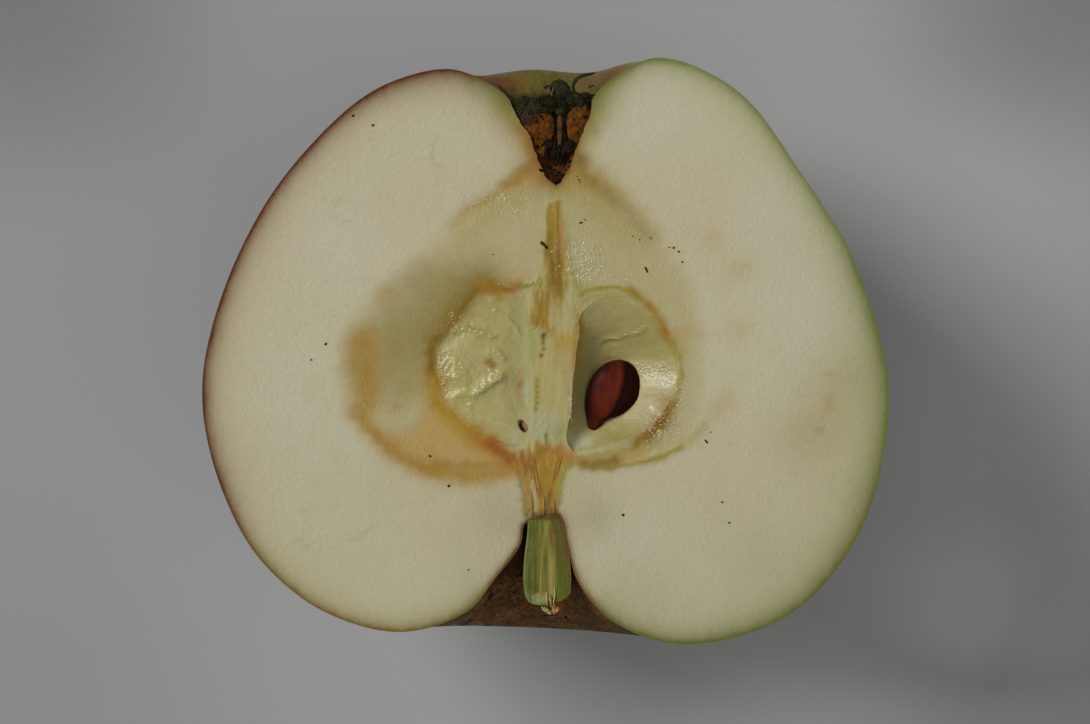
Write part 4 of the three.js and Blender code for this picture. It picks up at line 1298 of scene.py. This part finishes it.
amber_finish = tissue_finish("amber_tissue", hue(170, 132, 60), hue(196, 168, 104))
white_finish = tissue_finish("white_tissue", hue(176, 156, 108), hue(206, 190, 152))
piece("torn_edge_above", torn["amber"], amber_finish)
piece("torn_edge_below", torn["white"], white_finish)

threads = []
for _ in range(8):
    x, y = chance.uniform(-2.4, 2.2), chance.uniform(-12.8, -11.4)
    length = chance.uniform(2.4, 5.4)
    pull = max(0.35, 1 - length / 7.5)
    path = [(x, y), (x * (1 + pull) / 2, y - length / 2), (x * pull, y - length)]
    path = [(a, b, cut_height(a, b) - 0.03) for a, b in path]
    threads.append(strip(path, tapered(chance.uniform(0.2, 0.4)), tapered(0.1), rings=16, sides=8, rough=0.3))
for x, top, foot, wide in ((-1.6, -16.0, -19.8, 0.5), (-0.2, -16.8, -19.4, 0.4), (1.0, -17.2, -19.5, 0.42)):
    start = (x * 1.1, top, cut_height(x * 1.1, top) - 0.03)
    path = [start, (x, (top + foot) / 2, CUT + 0.06), (x * 0.95, foot, CUT + 0.06)]
    threads.append(strip(path, tapered(wide, 0.35), tapered(0.1), rings=20, sides=8, rough=0.4))
thread_finish = tissue_finish("wood_threads", hue(168, 122, 42), hue(196, 154, 74))
piece("wood_threads", threads, thread_finish)

# ---- The stalk -------------------------------------------------------------------------------------
# Short, woody and swollen at its end, halved by the knife: green bark cells outside, paler yellow
# strands of pith within, and a torn wisp of fibre where it left the twig.

STALK_OUTLINE = {
    "root": (-0.3, -19.1, -0.3, -19.1),
    "root edge": (1.7, -19.1, -2.0, -19.9),
    "throat": (2.0, -20.2, -2.1, -20.8),
    "neck": (2.4, -21.4, -2.2, -21.9),
    "middle": (2.85, -24.4, -2.5, -24.4),
    "swelling": (3.0, -27.2, -2.6, -27.0),
    "end corner": (2.65, -29.0, -2.1, -29.2),
    "end": (0.3, -29.9, 0.3, -29.9),
}
STALK_DEPTH = 0.84


def halved_stalk(along, around):
    """The stalk's rings, with the upper half pressed flat into the cut face and a notched end."""
    spots = between_edges(STALK_OUTLINE, STALK_DEPTH)(along, around)
    grooves = ripple(spots * np.array([1, 0.12, 1]), 0.6, seed=12)
    pits = ripple(spots, 0.8, seed=13)
    above = spots[:, 2] > CUT - 1e-6
    x, y = spots[:, 0], spots[:, 1]
    notch = np.exp(-(((x - 0.6) / 0.4) ** 2) - ((y + 29.6) / 0.9) ** 2)
    spots[:, 1] += 0.95 * notch + 0.3 * np.exp(-((y + 29.4) ** 2)) * (x > 0.6) + 0.1 * pits * (y < -29)
    torn_root = np.exp(-(((y + 18.7) / 0.8) ** 2))
    spots[:, 1] += 0.22 * ripple(spots * np.array([1, 0, 0]), 0.5, seed=15) * torn_root
    root = 0.1 * np.clip((y + 20.5) / 1.5, 0, 1)
    cut_side = CUT + root + 0.07 * grooves - 0.03
    bark_side = spots[:, 2] + 0.08 * grooves + 0.05 * pits
    spots[:, 2] = np.where(above, cut_side, bark_side)
    return spots


stalk_mesh = gathered("stalk", [ring_body(120, 96, halved_stalk)])
stalk_spots = column_of(stalk_mesh.vertices, "co", wide=3)
stations = np.array(list(STALK_OUTLINE.values()))
rights = np.interp(-stalk_spots[:, 1], -stations[:, 1], stations[:, 0])
lefts = np.interp(-stalk_spots[:, 1], -stations[:, 3], stations[:, 2])
across = (stalk_spots[:, 0] - (rights + lefts) / 2) / np.maximum((rights - lefts) / 2, 0.3)
stalk_mesh.attributes.new("across", "FLOAT", "POINT").data.foreach_set("value", across)


def stalk_finish():
    """Green cells along both sides, yellow pith down the middle, brown bark below the cut."""
    stalk = Finish(
        "stalk", Specular_IOR_Level=0.25, Subsurface_Weight=0.15, Subsurface_Radius=(0.8, 1, 0.3),
        Subsurface_Scale=0.4 * MM,
    )
    x, y, z = stalk.mm(3)
    lines = stalk.mottle(0.32, stretch=(1, 0.05, 1), detail=3.0)
    blotch, fine = stalk.mottle(1.2, detail=3.0), stalk.mottle(0.3, detail=3.0)
    cells = stalk.mottle(0.6, stretch=(0.5, 1.6, 1), detail=2.0)
    side = stalk.field("across") + lines * 0.05
    low = 1 - (y + blotch * 0.4).rise(-27.5, -22.5)
    green = stalk.layer(hue(90, 96, 32), hue(116, 122, 48), (blotch * 0.6 + lines * 0.4).rise(-1, 1))
    left_cells = (cells * 0.6 + low).rise(0.5, 1.6) * (1 - side.rise(-0.75, -0.4))
    green = stalk.layer(green, hue(76, 88, 38), left_cells * 0.7)
    olive = stalk.layer(hue(104, 94, 30), hue(98, 108, 26), low)
    tone = stalk.layer(green, olive, side.rise(0.3, 0.5))
    pith = stalk.layer(hue(112, 106, 38), hue(152, 144, 64), (lines * 0.9 + 0.3).rise(-0.3, 1))
    tone = stalk.layer(tone, pith, 1 - abs(side).rise(0.26, 0.5))
    pale = (1 - abs(x - 0.75 + lines * 0.05).rise(0.16, 0.4)) * (1 - y.rise(-25.5, -22.5))
    tone = stalk.layer(tone, hue(172, 158, 88), pale * 0.75)
    seam = (1 - abs(x - 0.95 + lines * 0.05).rise(0.1, 0.35)) * y.rise(-25, -22)
    tone = stalk.layer(tone, hue(112, 92, 34), seam * 0.5)
    tone = stalk.layer(tone, hue(140, 142, 88), (1 - (side + fine * 0.02).rise(-0.96, -0.86)) * 0.6)
    tone = stalk.layer(tone, hue(150, 146, 96), (side + fine * 0.02).rise(0.93, 0.98) * low * 0.5)
    foot = 1 - (((x + 0.75) / 0.9) ** 2 + ((y + 29.0) / 0.7) ** 2 + fine * 0.4).rise(0.5, 1.5)
    tone = stalk.layer(tone, hue(154, 158, 104), foot * 0.85)
    foot_spot = 1 - (((x + 0.45) ** 2 + (y + 28.4) ** 2) ** 0.5 + fine * 0.1).rise(0.1, 0.5)
    tone = stalk.layer(tone, hue(168, 120, 60), foot_spot * 0.8)
    rust_spot = 1 - (((x - 0.85) ** 2 + ((y + 21.9) / 1.3) ** 2) ** 0.5 + fine * 0.1).rise(0.1, 0.5)
    tone = stalk.layer(tone, hue(160, 96, 44), rust_spot * 0.75)
    tone = stalk.layer(tone, hue(92, 62, 20), (y + fine * 0.2 + lines * 0.4).rise(-20.0, -19.45) * 0.8)
    tone = stalk.layer(tone, hue(112, 76, 34), (side + fine * 0.02).rise(0.86, 0.92) * 0.7)
    bark = stalk.layer(hue(62, 52, 24), hue(96, 86, 40), (blotch + fine * 0.4).rise(-1, 1))
    tone = stalk.layer(bark, tone, (z - CUT).rise(-0.35, -0.15))
    stalk.show(Base_Color=tone, Roughness=0.5 + fine * 0.08, Normal=stalk.bump(lines * 0.04 + fine * 0.02))
    return stalk


stalk_mesh.materials.append(stalk_finish().material)
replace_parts(settle("stalk_half", stalk_mesh), "stalk")

amber_wisp = [
    lump((1.15, -30.3, CUT - 0.9), (0.42, 0.42, 0.3), rough=0.5, grain=0.5),
    lump((1.45, -30.2, CUT - 1.0), (0.25, 0.35, 0.25), rough=0.5, grain=0.5),
    strip([(0.75, -29.6, CUT - 0.4), (0.95, -30.2, CUT - 0.7), (1.0, -30.9, CUT - 1.1)],
          even(0.4), even(0.3), rough=0.5),
]
amber_wisp_finish = tissue_finish("amber_wisp", hue(184, 108, 44), hue(226, 176, 112))
piece("amber_wisp", amber_wisp, amber_wisp_finish)
pale_wisp = [
    lump((0.0, -30.3, CUT - 0.9), (0.42, 0.28, 0.22), rough=0.5, turn=-0.5, grain=0.5),
    lump((0.45, -30.7, CUT - 1.1), (0.3, 0.22, 0.2), rough=0.5, turn=-0.5, grain=0.5),
    strip([(-0.5, -30.0, CUT - 0.6), (0.0, -30.35, CUT - 0.8), (0.5, -30.8, CUT - 1.1)],
          even(0.3), even(0.2), rough=0.5),
    strip([(1.0, -27.6, CUT + 0.02), (1.1, -28.6, CUT + 0.05), (0.95, -29.3, CUT), (1.1, -30.0, CUT - 0.5)],
          tapered(0.24, 0.5), even(0.14), rough=0.4),
    strip([(0.1, -28.2, CUT + 0.02), (0.15, -29.0, CUT), (0.2, -29.9, CUT - 0.3)],
          tapered(0.26, 0.6), even(0.16), rough=0.4),
]
pale_wisp_finish = tissue_finish("pale_wisp", hue(188, 178, 118), hue(232, 226, 180))
piece("pale_wisp", pale_wisp, pale_wisp_finish)
pith_tail = [
    strip([(0.55, -28.6, CUT), (0.6, -29.3, CUT - 0.1), (0.7, -30.1, CUT - 0.6)],
          tapered(0.5, 0.6), even(0.3), rough=0.3),
]
tail_finish = tissue_finish("pith_tail", hue(150, 132, 56), hue(190, 170, 96))
piece("pith_tail", pith_tail, tail_finish)

# ---- The pips --------------------------------------------------------------------------------------
# Seeds in a hard shiny brown coat, pointed where they were fixed. One lies open in the right
# chamber, and the next one shows only through the torn hole beside the column.

PIP_OUTLINE = {
    "back": (8.9, -1.0, 8.9, -1.0),
    "brow": (10.0, -1.45, 7.75, -1.15),
    "crown": (10.85, -2.6, 6.55, -1.8),
    "shoulder": (11.25, -4.2, 5.5, -3.1),
    "belly": (11.0, -5.8, 4.8, -4.9),
    "waist": (9.5, -7.3, 4.65, -6.8),
    "neck": (7.3, -8.1, 4.85, -8.1),
    "beak": (6.45, -8.85, 5.0, -9.0),
    "point": (5.75, -9.4, 5.75, -9.4),
}
PIP_THICKNESS = 0.36
PIP_TOP = -0.8


def pip_skin(along, around):
    """A flattened drop, with one blunt keel along its upper side."""
    spots = between_edges(PIP_OUTLINE, PIP_THICKNESS)(along, around)
    upper = np.maximum(0, -np.sin(around))
    ridge = np.exp(-(((np.cos(around) - 0.42) / 0.4) ** 2)) * upper
    spots[:, 2] += 0.35 * ridge * np.sin(along * math.pi)
    spots[:, 2] += 0.05 * ripple(spots, 1.1, seed=14)
    spots[:, 2] = np.where(upper > 0, spots[:, 2], CUT + (spots[:, 2] - CUT) * 0.75)
    spots[:, 2] += 0.35 * np.clip((-7.4 - spots[:, 1]) / 1.6, 0, 1)
    spots[:, 2] += CUT + PIP_TOP - spots[:, 2].max()
    return spots


def pip_finish():
    """Red brown on its lit side, with painted light across its face and painted shade that makes it nearly
    black beyond the keel.
    """
    pip = Finish("pip_coat", Coat_Weight=0.015, Coat_Roughness=0.03, Specular_IOR_Level=0.03)
    x, y = pip.mm(2)
    grain = pip.mottle(0.7, stretch=(1, 0.3, 1), detail=4.0)
    keel = x - 8.9 - (y + 5.0) * 0.3 + ((y + 4.5) ** 2) * 0.06
    face = 1 - (((x - 7.4 - (y + 5) * 0.3) / 2.2) ** 2 + ((y + 4.6) / 4.2) ** 2).rise(0.1, 1.1)
    lit = (face + grain * 0.45 + pip.mottle(2.0) * 0.2).rise(0, 1.25)
    tone = pip.layer(hue(50, 18, 12), hue(102, 38, 24), lit)
    tone = pip.layer(tone, hue(96, 46, 22), (y + x * 0.2 + grain * 0.2).rise(-0.6, 0.9) * 0.5)
    # Painted shade: nearly black beyond the keel, on the side turned from the light.
    tone = pip.layer(tone, hue(42, 17, 10), (keel + grain * 0.2).rise(-0.6, 0.25) * 0.9)
    tone = pip.layer(tone, hue(20, 9, 7), (1 - (abs(keel - 0.1 + grain * 0.1)).rise(0.05, 0.5)) * 0.6)
    tone = pip.layer(tone, hue(70, 30, 14), (1 - (y + grain * 0.2).rise(-8.6, -7.6)) * 0.7)
    pip.show(Base_Color=tone, Roughness=0.5 + grain * 0.04, Normal=pip.bump(grain * 0.006))
    return pip


pip_mesh = gathered("pip", [ring_body(72, 64, pip_skin)], pip_finish())
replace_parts(settle("pip_in_chamber", pip_mesh), "pip")
hidden_tip = lump((-2.35, -8.7, CUT - 0.8), (0.65, 0.85, 0.5), rough=0.02, rings=20, sides=20)
hidden_finish = Finish("hidden_pip_coat", Roughness=0.45, Specular_IOR_Level=0.2)
x, y = hidden_finish.mm(2)
lit_side = (x + y * 0.5 + hidden_finish.mottle(0.5) * 0.1).rise(-7.25, -6.85)
hidden_finish.show(Base_Color=hidden_finish.layer(hue(60, 26, 14), hue(164, 122, 88), lit_side))
piece("next_pip_tip", [hidden_tip], hidden_finish)

# ---- The dried calyx ----------------------------------------------------------------------------------
# What is left of the flower in the eye: brown lobes of the funnel's lining, black stamens down its
# middle, dark wool across its mouth and the withered sepals that stand from it.

RIM = {"y": 28.9, "middle": 0.75, "radius": 3.9}


def on_rim(angle, radius, y):
    """A place round the funnel's mouth, its angle from +X down round the back."""
    return (RIM["middle"] + radius * math.cos(angle), y, CUT - radius * math.sin(angle) * FRUIT_DEPTH)


def dry_finish(name, dark, pale, size=0.5, specks=None):
    """Withered tissue in two tones, with specks in a third."""
    dry = Finish(name, Specular_IOR_Level=0.1)
    fine = dry.mottle(size * 0.5, stretch=(1, 0.7, 1), detail=4.0)
    middling = dry.mottle(size * 2)
    tone = dry.layer(dark, pale, (fine * 0.6 + middling * 0.6).rise(-0.8, 1.1))
    if specks:
        tone = dry.layer(tone, specks, (dry.mottle(size * 0.9, detail=4.0) + fine * 0.2).rise(0.75, 1.0))
    dry.show(Base_Color=tone, Roughness=0.75 + fine * 0.06, Normal=dry.bump(fine * 0.06))
    return dry


def blade(outline, height, bulge, rings=30, sides=26, rough=0.12):
    """A rounded lobe between its right and left edges, its top at height."""
    between = between_edges(outline, bulge)

    def place(along, around):
        spots = between(along, around)
        spots[:, 2] += height - CUT
        spots[:, 2] += rough * ripple(spots, 0.7, seed=31)
        return spots

    return ring_body(rings, sides, place)


lobes = [
    blade({
        "top": (-0.4, 28.0, -0.4, 28.0), "brow": (0.8, 27.4, -2.2, 27.3), "cheek": (1.05, 26.2, -3.0, 26.3),
        "waist": (0.9, 25.0, -2.6, 25.2), "chin": (0.2, 24.3, -1.9, 23.8), "foot": (-0.2, 22.6, -1.1, 22.6),
        "end": (-0.3, 21.6, -0.3, 21.6),
    }, CUT - 0.8, 0.22, rough=0.2),
    blade({
        "top": (4.4, 29.3, 4.4, 29.3), "brow": (5.5, 28.4, 3.1, 28.5), "cheek": (5.5, 27.2, 2.5, 27.3),
        "waist": (4.6, 25.8, 2.5, 26.0), "chin": (4.0, 24.6, 2.7, 24.9), "end": (3.4, 23.4, 3.4, 23.4),
    }, CUT - 0.75, 0.22, rough=0.2),
]
lobe_finish = dry_finish("lining_lobes", hue(62, 32, 8), hue(140, 84, 24), 0.6, hue(34, 19, 8))
piece("lining_lobes", lobes, lobe_finish)

style = [
    blade({
        "top": (1.7, 28.1, 1.7, 28.1), "upper": (2.05, 27.2, 1.35, 27.2), "middle": (2.0, 25.8, 1.4, 25.8),
        "lower": (1.9, 24.4, 1.35, 24.4), "end": (1.6, 23.2, 1.6, 23.2),
    }, CUT - 0.9, 0.8),
]
style_finish = dry_finish("style", hue(74, 46, 22), hue(118, 82, 56))
piece("style", style, style_finish)

stamens = []
for points, size in (
    ([(-1.0, 27.75), (-0.4, 28.0), (0.3, 27.9), (0.8, 27.5), (1.1, 26.6), (1.2, 25.6), (1.25, 24.6)], 0.26),
    ([(3.1, 28.4), (2.7, 28.1), (2.35, 27.5), (2.2, 26.6), (2.2, 25.6), (2.2, 24.6)], 0.28),
    ([(1.2, 25.2), (1.1, 24.0), (1.0, 22.8), (0.9, 21.6)], 0.34),
    ([(2.3, 25.4), (2.3, 24.2), (2.0, 23.0), (1.7, 21.6)], 0.36),
    ([(1.6, 24.2), (1.6, 23.2), (1.4, 22.2)], 0.36),
    ([(0.4, 24.6), (0.2, 23.6), (0.4, 22.4)], 0.4),
    ([(-0.6, 23.9), (0.1, 24.6), (0.9, 24.7)], 0.3),
):
    path = [(x, y, CUT - 0.62 - 0.08 * k) for k, (x, y) in enumerate(points)]
    stamens.append(strip(path, tapered(size, 0.5), even(0.3), rings=30, sides=8, rough=0.5))
for x, y, z, long_way, wide in [
    (0.5, 24.2, -0.7, 0.5, 0.5), (2.7, 23.9, -0.6, 0.65, 0.5), (3.1, 24.3, -0.5, 0.35, 0.35),
    (-1.0, 23.9, -0.35, 0.3, 0.18), (-0.75, 22.8, -0.3, 0.28, 0.18), (-0.55, 21.1, -0.15, 0.2, 0.3),
    (0.6, 21.5, -0.5, 0.25, 0.3), (1.2, 21.9, -0.45, 0.25, 0.3), (2.2, 21.9, -0.4, 0.2, 0.22),
    (2.8, 22.2, -0.25, 0.16, 0.2), (1.6, 20.9, -0.35, 0.2, 0.3), (0.9, 20.2, -0.16, 0.1, 0.16),
    (1.7, 20.0, -0.16, 0.1, 0.2), (0.7, 20.9, -0.3, 0.14, 0.2), (1.3, 20.5, -0.25, 0.12, 0.22),
    (2.0, 20.6, -0.25, 0.16, 0.14), (1.2, 19.8, -0.12, 0.1, 0.24), (1.5, 23.1, -0.9, 0.6, 0.8),
    (1.0, 23.5, -0.8, 0.6, 0.5),
    (0.2, 22.4, -0.35, 0.14, 0.12), (0.5, 22.8, -0.4, 0.2, 0.12), (2.3, 21.2, -0.2, 0.12, 0.14),
    (1.1, 21.2, -0.3, 0.12, 0.16), (0.1, 21.6, -0.2, 0.12, 0.1), (1.9, 22.5, -0.5, 0.2, 0.16),
    (-0.6, 27.5, -0.4, 0.14, 0.16), (-1.0, 26.9, -0.4, 0.14, 0.18), (-0.3, 27.1, -0.4, 0.08, 0.12),
    (4.6, 27.4, -0.35, 0.25, 0.16), (4.7, 26.2, -0.4, 0.2, 0.14), (4.9, 28.6, -0.3, 0.5, 0.16),
]:
    stamens.append(lump((x, y, CUT + z), (wide, long_way, 0.2), rough=0.8, rings=16, sides=20, grain=0.8))
stamen_finish = dry_finish("stamens", hue(12, 11, 8), hue(44, 40, 22))
piece("stamens", stamens, stamen_finish)

# Wool: flat felted tufts under a great many short hairs.
wool = []
for x, y, z, long_way, wide, turn in [
    (-2.4, 28.9, -0.9, 0.7, 1.1, 0.1), (-1.0, 29.0, -1.1, 0.7, 1.3, -0.1), (0.4, 28.7, -1.1, 0.8, 1.2, 0.2),
    (1.7, 28.8, -1.0, 0.9, 1.1, 0.0), (2.9, 29.2, -0.9, 0.9, 0.9, -0.3), (3.9, 29.7, -0.8, 0.5, 0.9, -0.4),
    (0.9, 29.6, -1.3, 0.6, 1.6, 0.1), (2.2, 29.8, -1.3, 0.8, 1.6, 0.0), (-2.3, 27.6, -0.95, 0.9, 0.6, 0.4),
    (4.7, 29.9, -0.9, 0.4, 0.7, -0.2), (-3.2, 29.3, -0.9, 0.35, 0.8, 0.3), (1.8, 28.0, -1.0, 0.5, 0.7, 0.0),
]:
    wool.append(lump((x, y, CUT + z), (wide, long_way, 0.5), 0.3, turn, rings=16, sides=20, grain=0.6))
for step in range(9):
    angle = 0.3 + step / 8 * (math.pi - 0.6)
    spot = on_rim(angle, RIM["radius"] - 0.5, RIM["y"] + 0.2)
    wool.append(lump(spot, (0.8, 0.8, 0.8), rough=0.3, turn=chance.uniform(0, 3), grain=0.5))
wool_finish = dry_finish("wool", hue(28, 27, 15), hue(66, 60, 34))
piece("wool", wool, wool_finish)

WOOL_HAIRS = {  # count, middle, spread, length, dark, pale
    "grey_hairs": (420, (-2.0, 28.6, -0.45), (1.6, 0.7, 0.15), 1.0, hue(70, 62, 36), hue(124, 112, 76)),
    "lilac_hairs": (140, (-2.3, 27.4, -0.4), (0.6, 0.8, 0.12), 0.8, hue(88, 68, 54), hue(136, 116, 94)),
    "dark_hairs": (560, (1.2, 29.1, -0.55), (2.6, 0.7, 0.2), 0.9, hue(30, 30, 17), hue(84, 78, 46)),
}
for name, (count, middle, spread_by, long_way, dark, pale) in WOOL_HAIRS.items():
    hairs = bmesh.new()
    for _ in range(count):
        root = Vector([chance.gauss(at, by / 1.6) for at, by in zip(middle, spread_by)]) + Vector((0, 0, CUT))
        way = Vector((chance.gauss(0, 1), chance.gauss(-0.2, 0.8), chance.gauss(0.05, 0.25))).normalized()
        length = long_way * chance.uniform(0.5, 1.1)
        root.z = min(root.z, CUT - 0.25)
        place = Matrix.Translation(root) @ way.to_track_quat("Z", "Y").to_matrix().to_4x4()
        bmesh.ops.create_cone(
            hairs, cap_ends=True, segments=3, radius1=0.035, radius2=0.012, depth=length, matrix=place
        )
    piece(name, [hairs], dry_finish(name, dark, pale))

sepals = [
    blade({
        "top": (1.6, 31.95, 1.6, 31.95), "brow": (2.5, 31.5, 0.7, 31.5), "middle": (3.0, 30.6, 0.6, 30.7),
        "foot": (3.1, 29.6, 0.8, 29.7), "end": (2.0, 29.0, 2.0, 29.0),
    }, CUT - 1.5, 0.55, rough=0.1),
    blade({
        "top": (0.2, 31.2, 0.2, 31.2), "brow": (0.9, 31.15, -0.3, 31.0), "middle": (1.0, 30.9, 0.0, 30.75),
        "end": (0.7, 30.5, 0.7, 30.5),
    }, CUT - 1.5, 0.4, rough=0.08),
]
for points, size in (
    ([(5.9, 32.65), (5.2, 32.45), (4.4, 32.3), (3.75, 31.95), (3.35, 31.4), (3.25, 30.8), (3.5, 30.3),
      (4.1, 30.0)], 0.42),
    ([(4.0, 30.1), (4.8, 29.95), (5.6, 30.0), (6.3, 30.15)], 0.26),
    ([(-4.6, 30.2), (-4.0, 29.75), (-3.3, 29.5), (-2.5, 29.55), (-1.6, 29.7)], 0.34),
    ([(-5.6, 31.3), (-5.0, 30.6), (-4.5, 30.2)], 0.18),
    ([(5.0, 30.9), (5.3, 31.0), (5.7, 31.2)], 0.3),
):
    path = [(x, y, CUT - 0.9) for x, y in points]
    sepals.append(strip(path, tapered(size, 0.4), even(0.5), (1, 1, 0), rings=40, sides=12, rough=0.3))
sepal_finish = dry_finish("sepals", hue(36, 38, 22), hue(62, 66, 42))
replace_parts(piece("sepals", sepals, sepal_finish), "calyx")

petal_thread = [
    strip([(0.5, 31.0, CUT - 1.0), (0.35, 30.6, CUT - 0.7), (0.75, 30.2, CUT - 0.65), (0.7, 29.7, CUT - 0.8)],
          even(0.34), even(0.26), rough=0.4),
    strip([(0.9, 30.9, CUT - 1.1), (0.9, 30.5, CUT - 0.8), (0.6, 30.0, CUT - 0.75)],
          even(0.24), even(0.2), rough=0.4),
]
petal_finish = dry_finish("dead_petal_thread", hue(96, 74, 62), hue(140, 114, 104))
piece("dead_petal_thread", petal_thread, petal_finish)

# ---- Beads of juice --------------------------------------------------------------------------------------
# The knife burst cells, and their juice stands on the cut face in tiny beads and short ridges. Each
# glints on the side that faces a window.

JUICE = {  # places: x, y, reach x, reach y, how many, half length, half width, heading
    "flesh": [
        (4.3, 11.4, 1.9, 1.9, 70, 0.24, 0.12, 1.0), (4.4, 9.4, 2.0, 1.5, 70, 0.24, 0.12, 1.0),
        (7.2, 8.6, 1.8, 0.9, 14, 0.16, 0.1, 0.8), (-3.6, 17.0, 3.4, 2.4, 60, 0.14, 0.1, 0.9),
        (13.6, -9.6, 1.9, 1.5, 70, 0.15, 0.085, 0.9), (15.9, -4.6, 0.7, 2.8, 34, 0.16, 0.1, 1.2),
        (17.2, -9.2, 1.8, 1.6, 34, 0.14, 0.09, 0.8),
    ],
    "rust": [
        (-4.6, 7.8, 1.2, 0.5, 14, 0.15, 0.1, 0.8), (-10.9, 4.0, 0.9, 0.8, 16, 0.15, 0.1, 0.8),
        (13.6, -8.2, 1.3, 1.4, 44, 0.15, 0.085, 0.9),
    ],
}
JUICE_TONES = {"flesh": hue(208, 198, 146), "rust": hue(192, 152, 72)}
bpy.context.view_layer.update()
for ground, places in JUICE.items():
    beads = []
    for x, y, reach_x, reach_y, count, half_length, half_width, heading in places:
        for _ in range(count):
            bead_x, bead_y = x + chance.gauss(0, reach_x / 2), y + chance.gauss(0, reach_y / 2)
            found, spot, _, _ = apple.ray_cast(Vector((bead_x, bead_y, CUT + 5)) * MM, Vector((0, 0, -1)))
            size = chance.uniform(0.55, 1.15)
            reach = (half_length * size, half_width * size, 0.42 * half_width * size)
            spot = (bead_x, bead_y, spot.z / MM - 0.45 * reach[2] if found else CUT)
            turn = heading + chance.gauss(0, 0.3)
            beads.append(lump(spot, reach, 0.08, turn, rings=10, sides=12, grain=0.8))
    bead_finish = Finish(
        f"juice_on_{ground}", Base_Color=JUICE_TONES[ground], Roughness=0.14, Specular_IOR_Level=0.8, IOR=1.6,
        Subsurface_Weight=0.3, Subsurface_Radius=(1.0, 0.75, 0.4), Subsurface_Scale=0.42 * MM,
    )
    piece(f"juice_on_{ground}", beads, bead_finish)

# ---- Crumbs and specks ---------------------------------------------------------------------------------
# Dark bits of bark and dried wool that the knife carried over the cut face.

CRUMBS = [  # x, y, half length, half width, heading
    (-0.34, 12.58, 0.27, 0.2, -0.75), (0.02, 12.2, 0.3, 0.19, -0.8), (11.8, 9.5, 0.42, 0.12, -1.1),
    (4.15, 15.0, 0.22, 0.1, 0.2), (4.6, 15.35, 0.16, 0.05, -0.9), (3.9, 20.0, 0.12, 0.09, 0),
    (15.0, 12.05, 0.14, 0.12, 0), (15.6, 11.6, 0.13, 0.12, 0), (16.0, 10.4, 0.14, 0.1, 0.6),
    (-25.7, 0.8, 0.16, 0.12, 0.8), (-27.4, -1.05, 0.13, 0.09, 0), (-22.5, 27.5, 0.18, 0.12, 0.5),
    (-20.2, 26.4, 0.2, 0.12, 0.2), (-13.5, -12.3, 0.16, 0.12, 0), (-11.3, -15.8, 0.19, 0.15, 0),
    (18.8, -10.6, 0.3, 0.1, -0.9), (9.1, -19.2, 0.18, 0.13, 0), (20.65, -17.7, 0.14, 0.1, 0),
    (21.5, -20.1, 0.15, 0.1, 0), (-9.0, -25.6, 0.11, 0.09, 0), (11.0, 13.0, 0.1, 0.07, 0),
    (12.3, 13.2, 0.2, 0.06, -0.8), (10.2, 13.4, 0.14, 0.05, 0.4), (3.72, 20.4, 0.1, 0.05, 0.5),
    (4.03, 19.7, 0.12, 0.05, -0.9), (14.5, 12.1, 0.12, 0.06, 0), (-6.1, 11.3, 0.1, 0.07, 0),
    (19.3, -9.5, 0.12, 0.06, 0.3),
]
crumbs = []
for x, y, half_length, half_width, heading in CRUMBS:
    spot = (x, y, cut_height(x, y) + half_width * 0.2)
    crumbs.append(
        lump(spot, (half_length, half_width, half_width * 0.6), 0.6, heading, rings=10, sides=12, grain=0.5)
    )
crumbs.append(lump((2.4, -31.4, CUT - 3.2), (0.18, 0.18, 0.15), rough=0.4, rings=10, sides=12, grain=0.5))
crumb_finish = dry_finish("crumbs", hue(34, 22, 10), hue(84, 56, 30))
piece("crumbs", crumbs, crumb_finish)
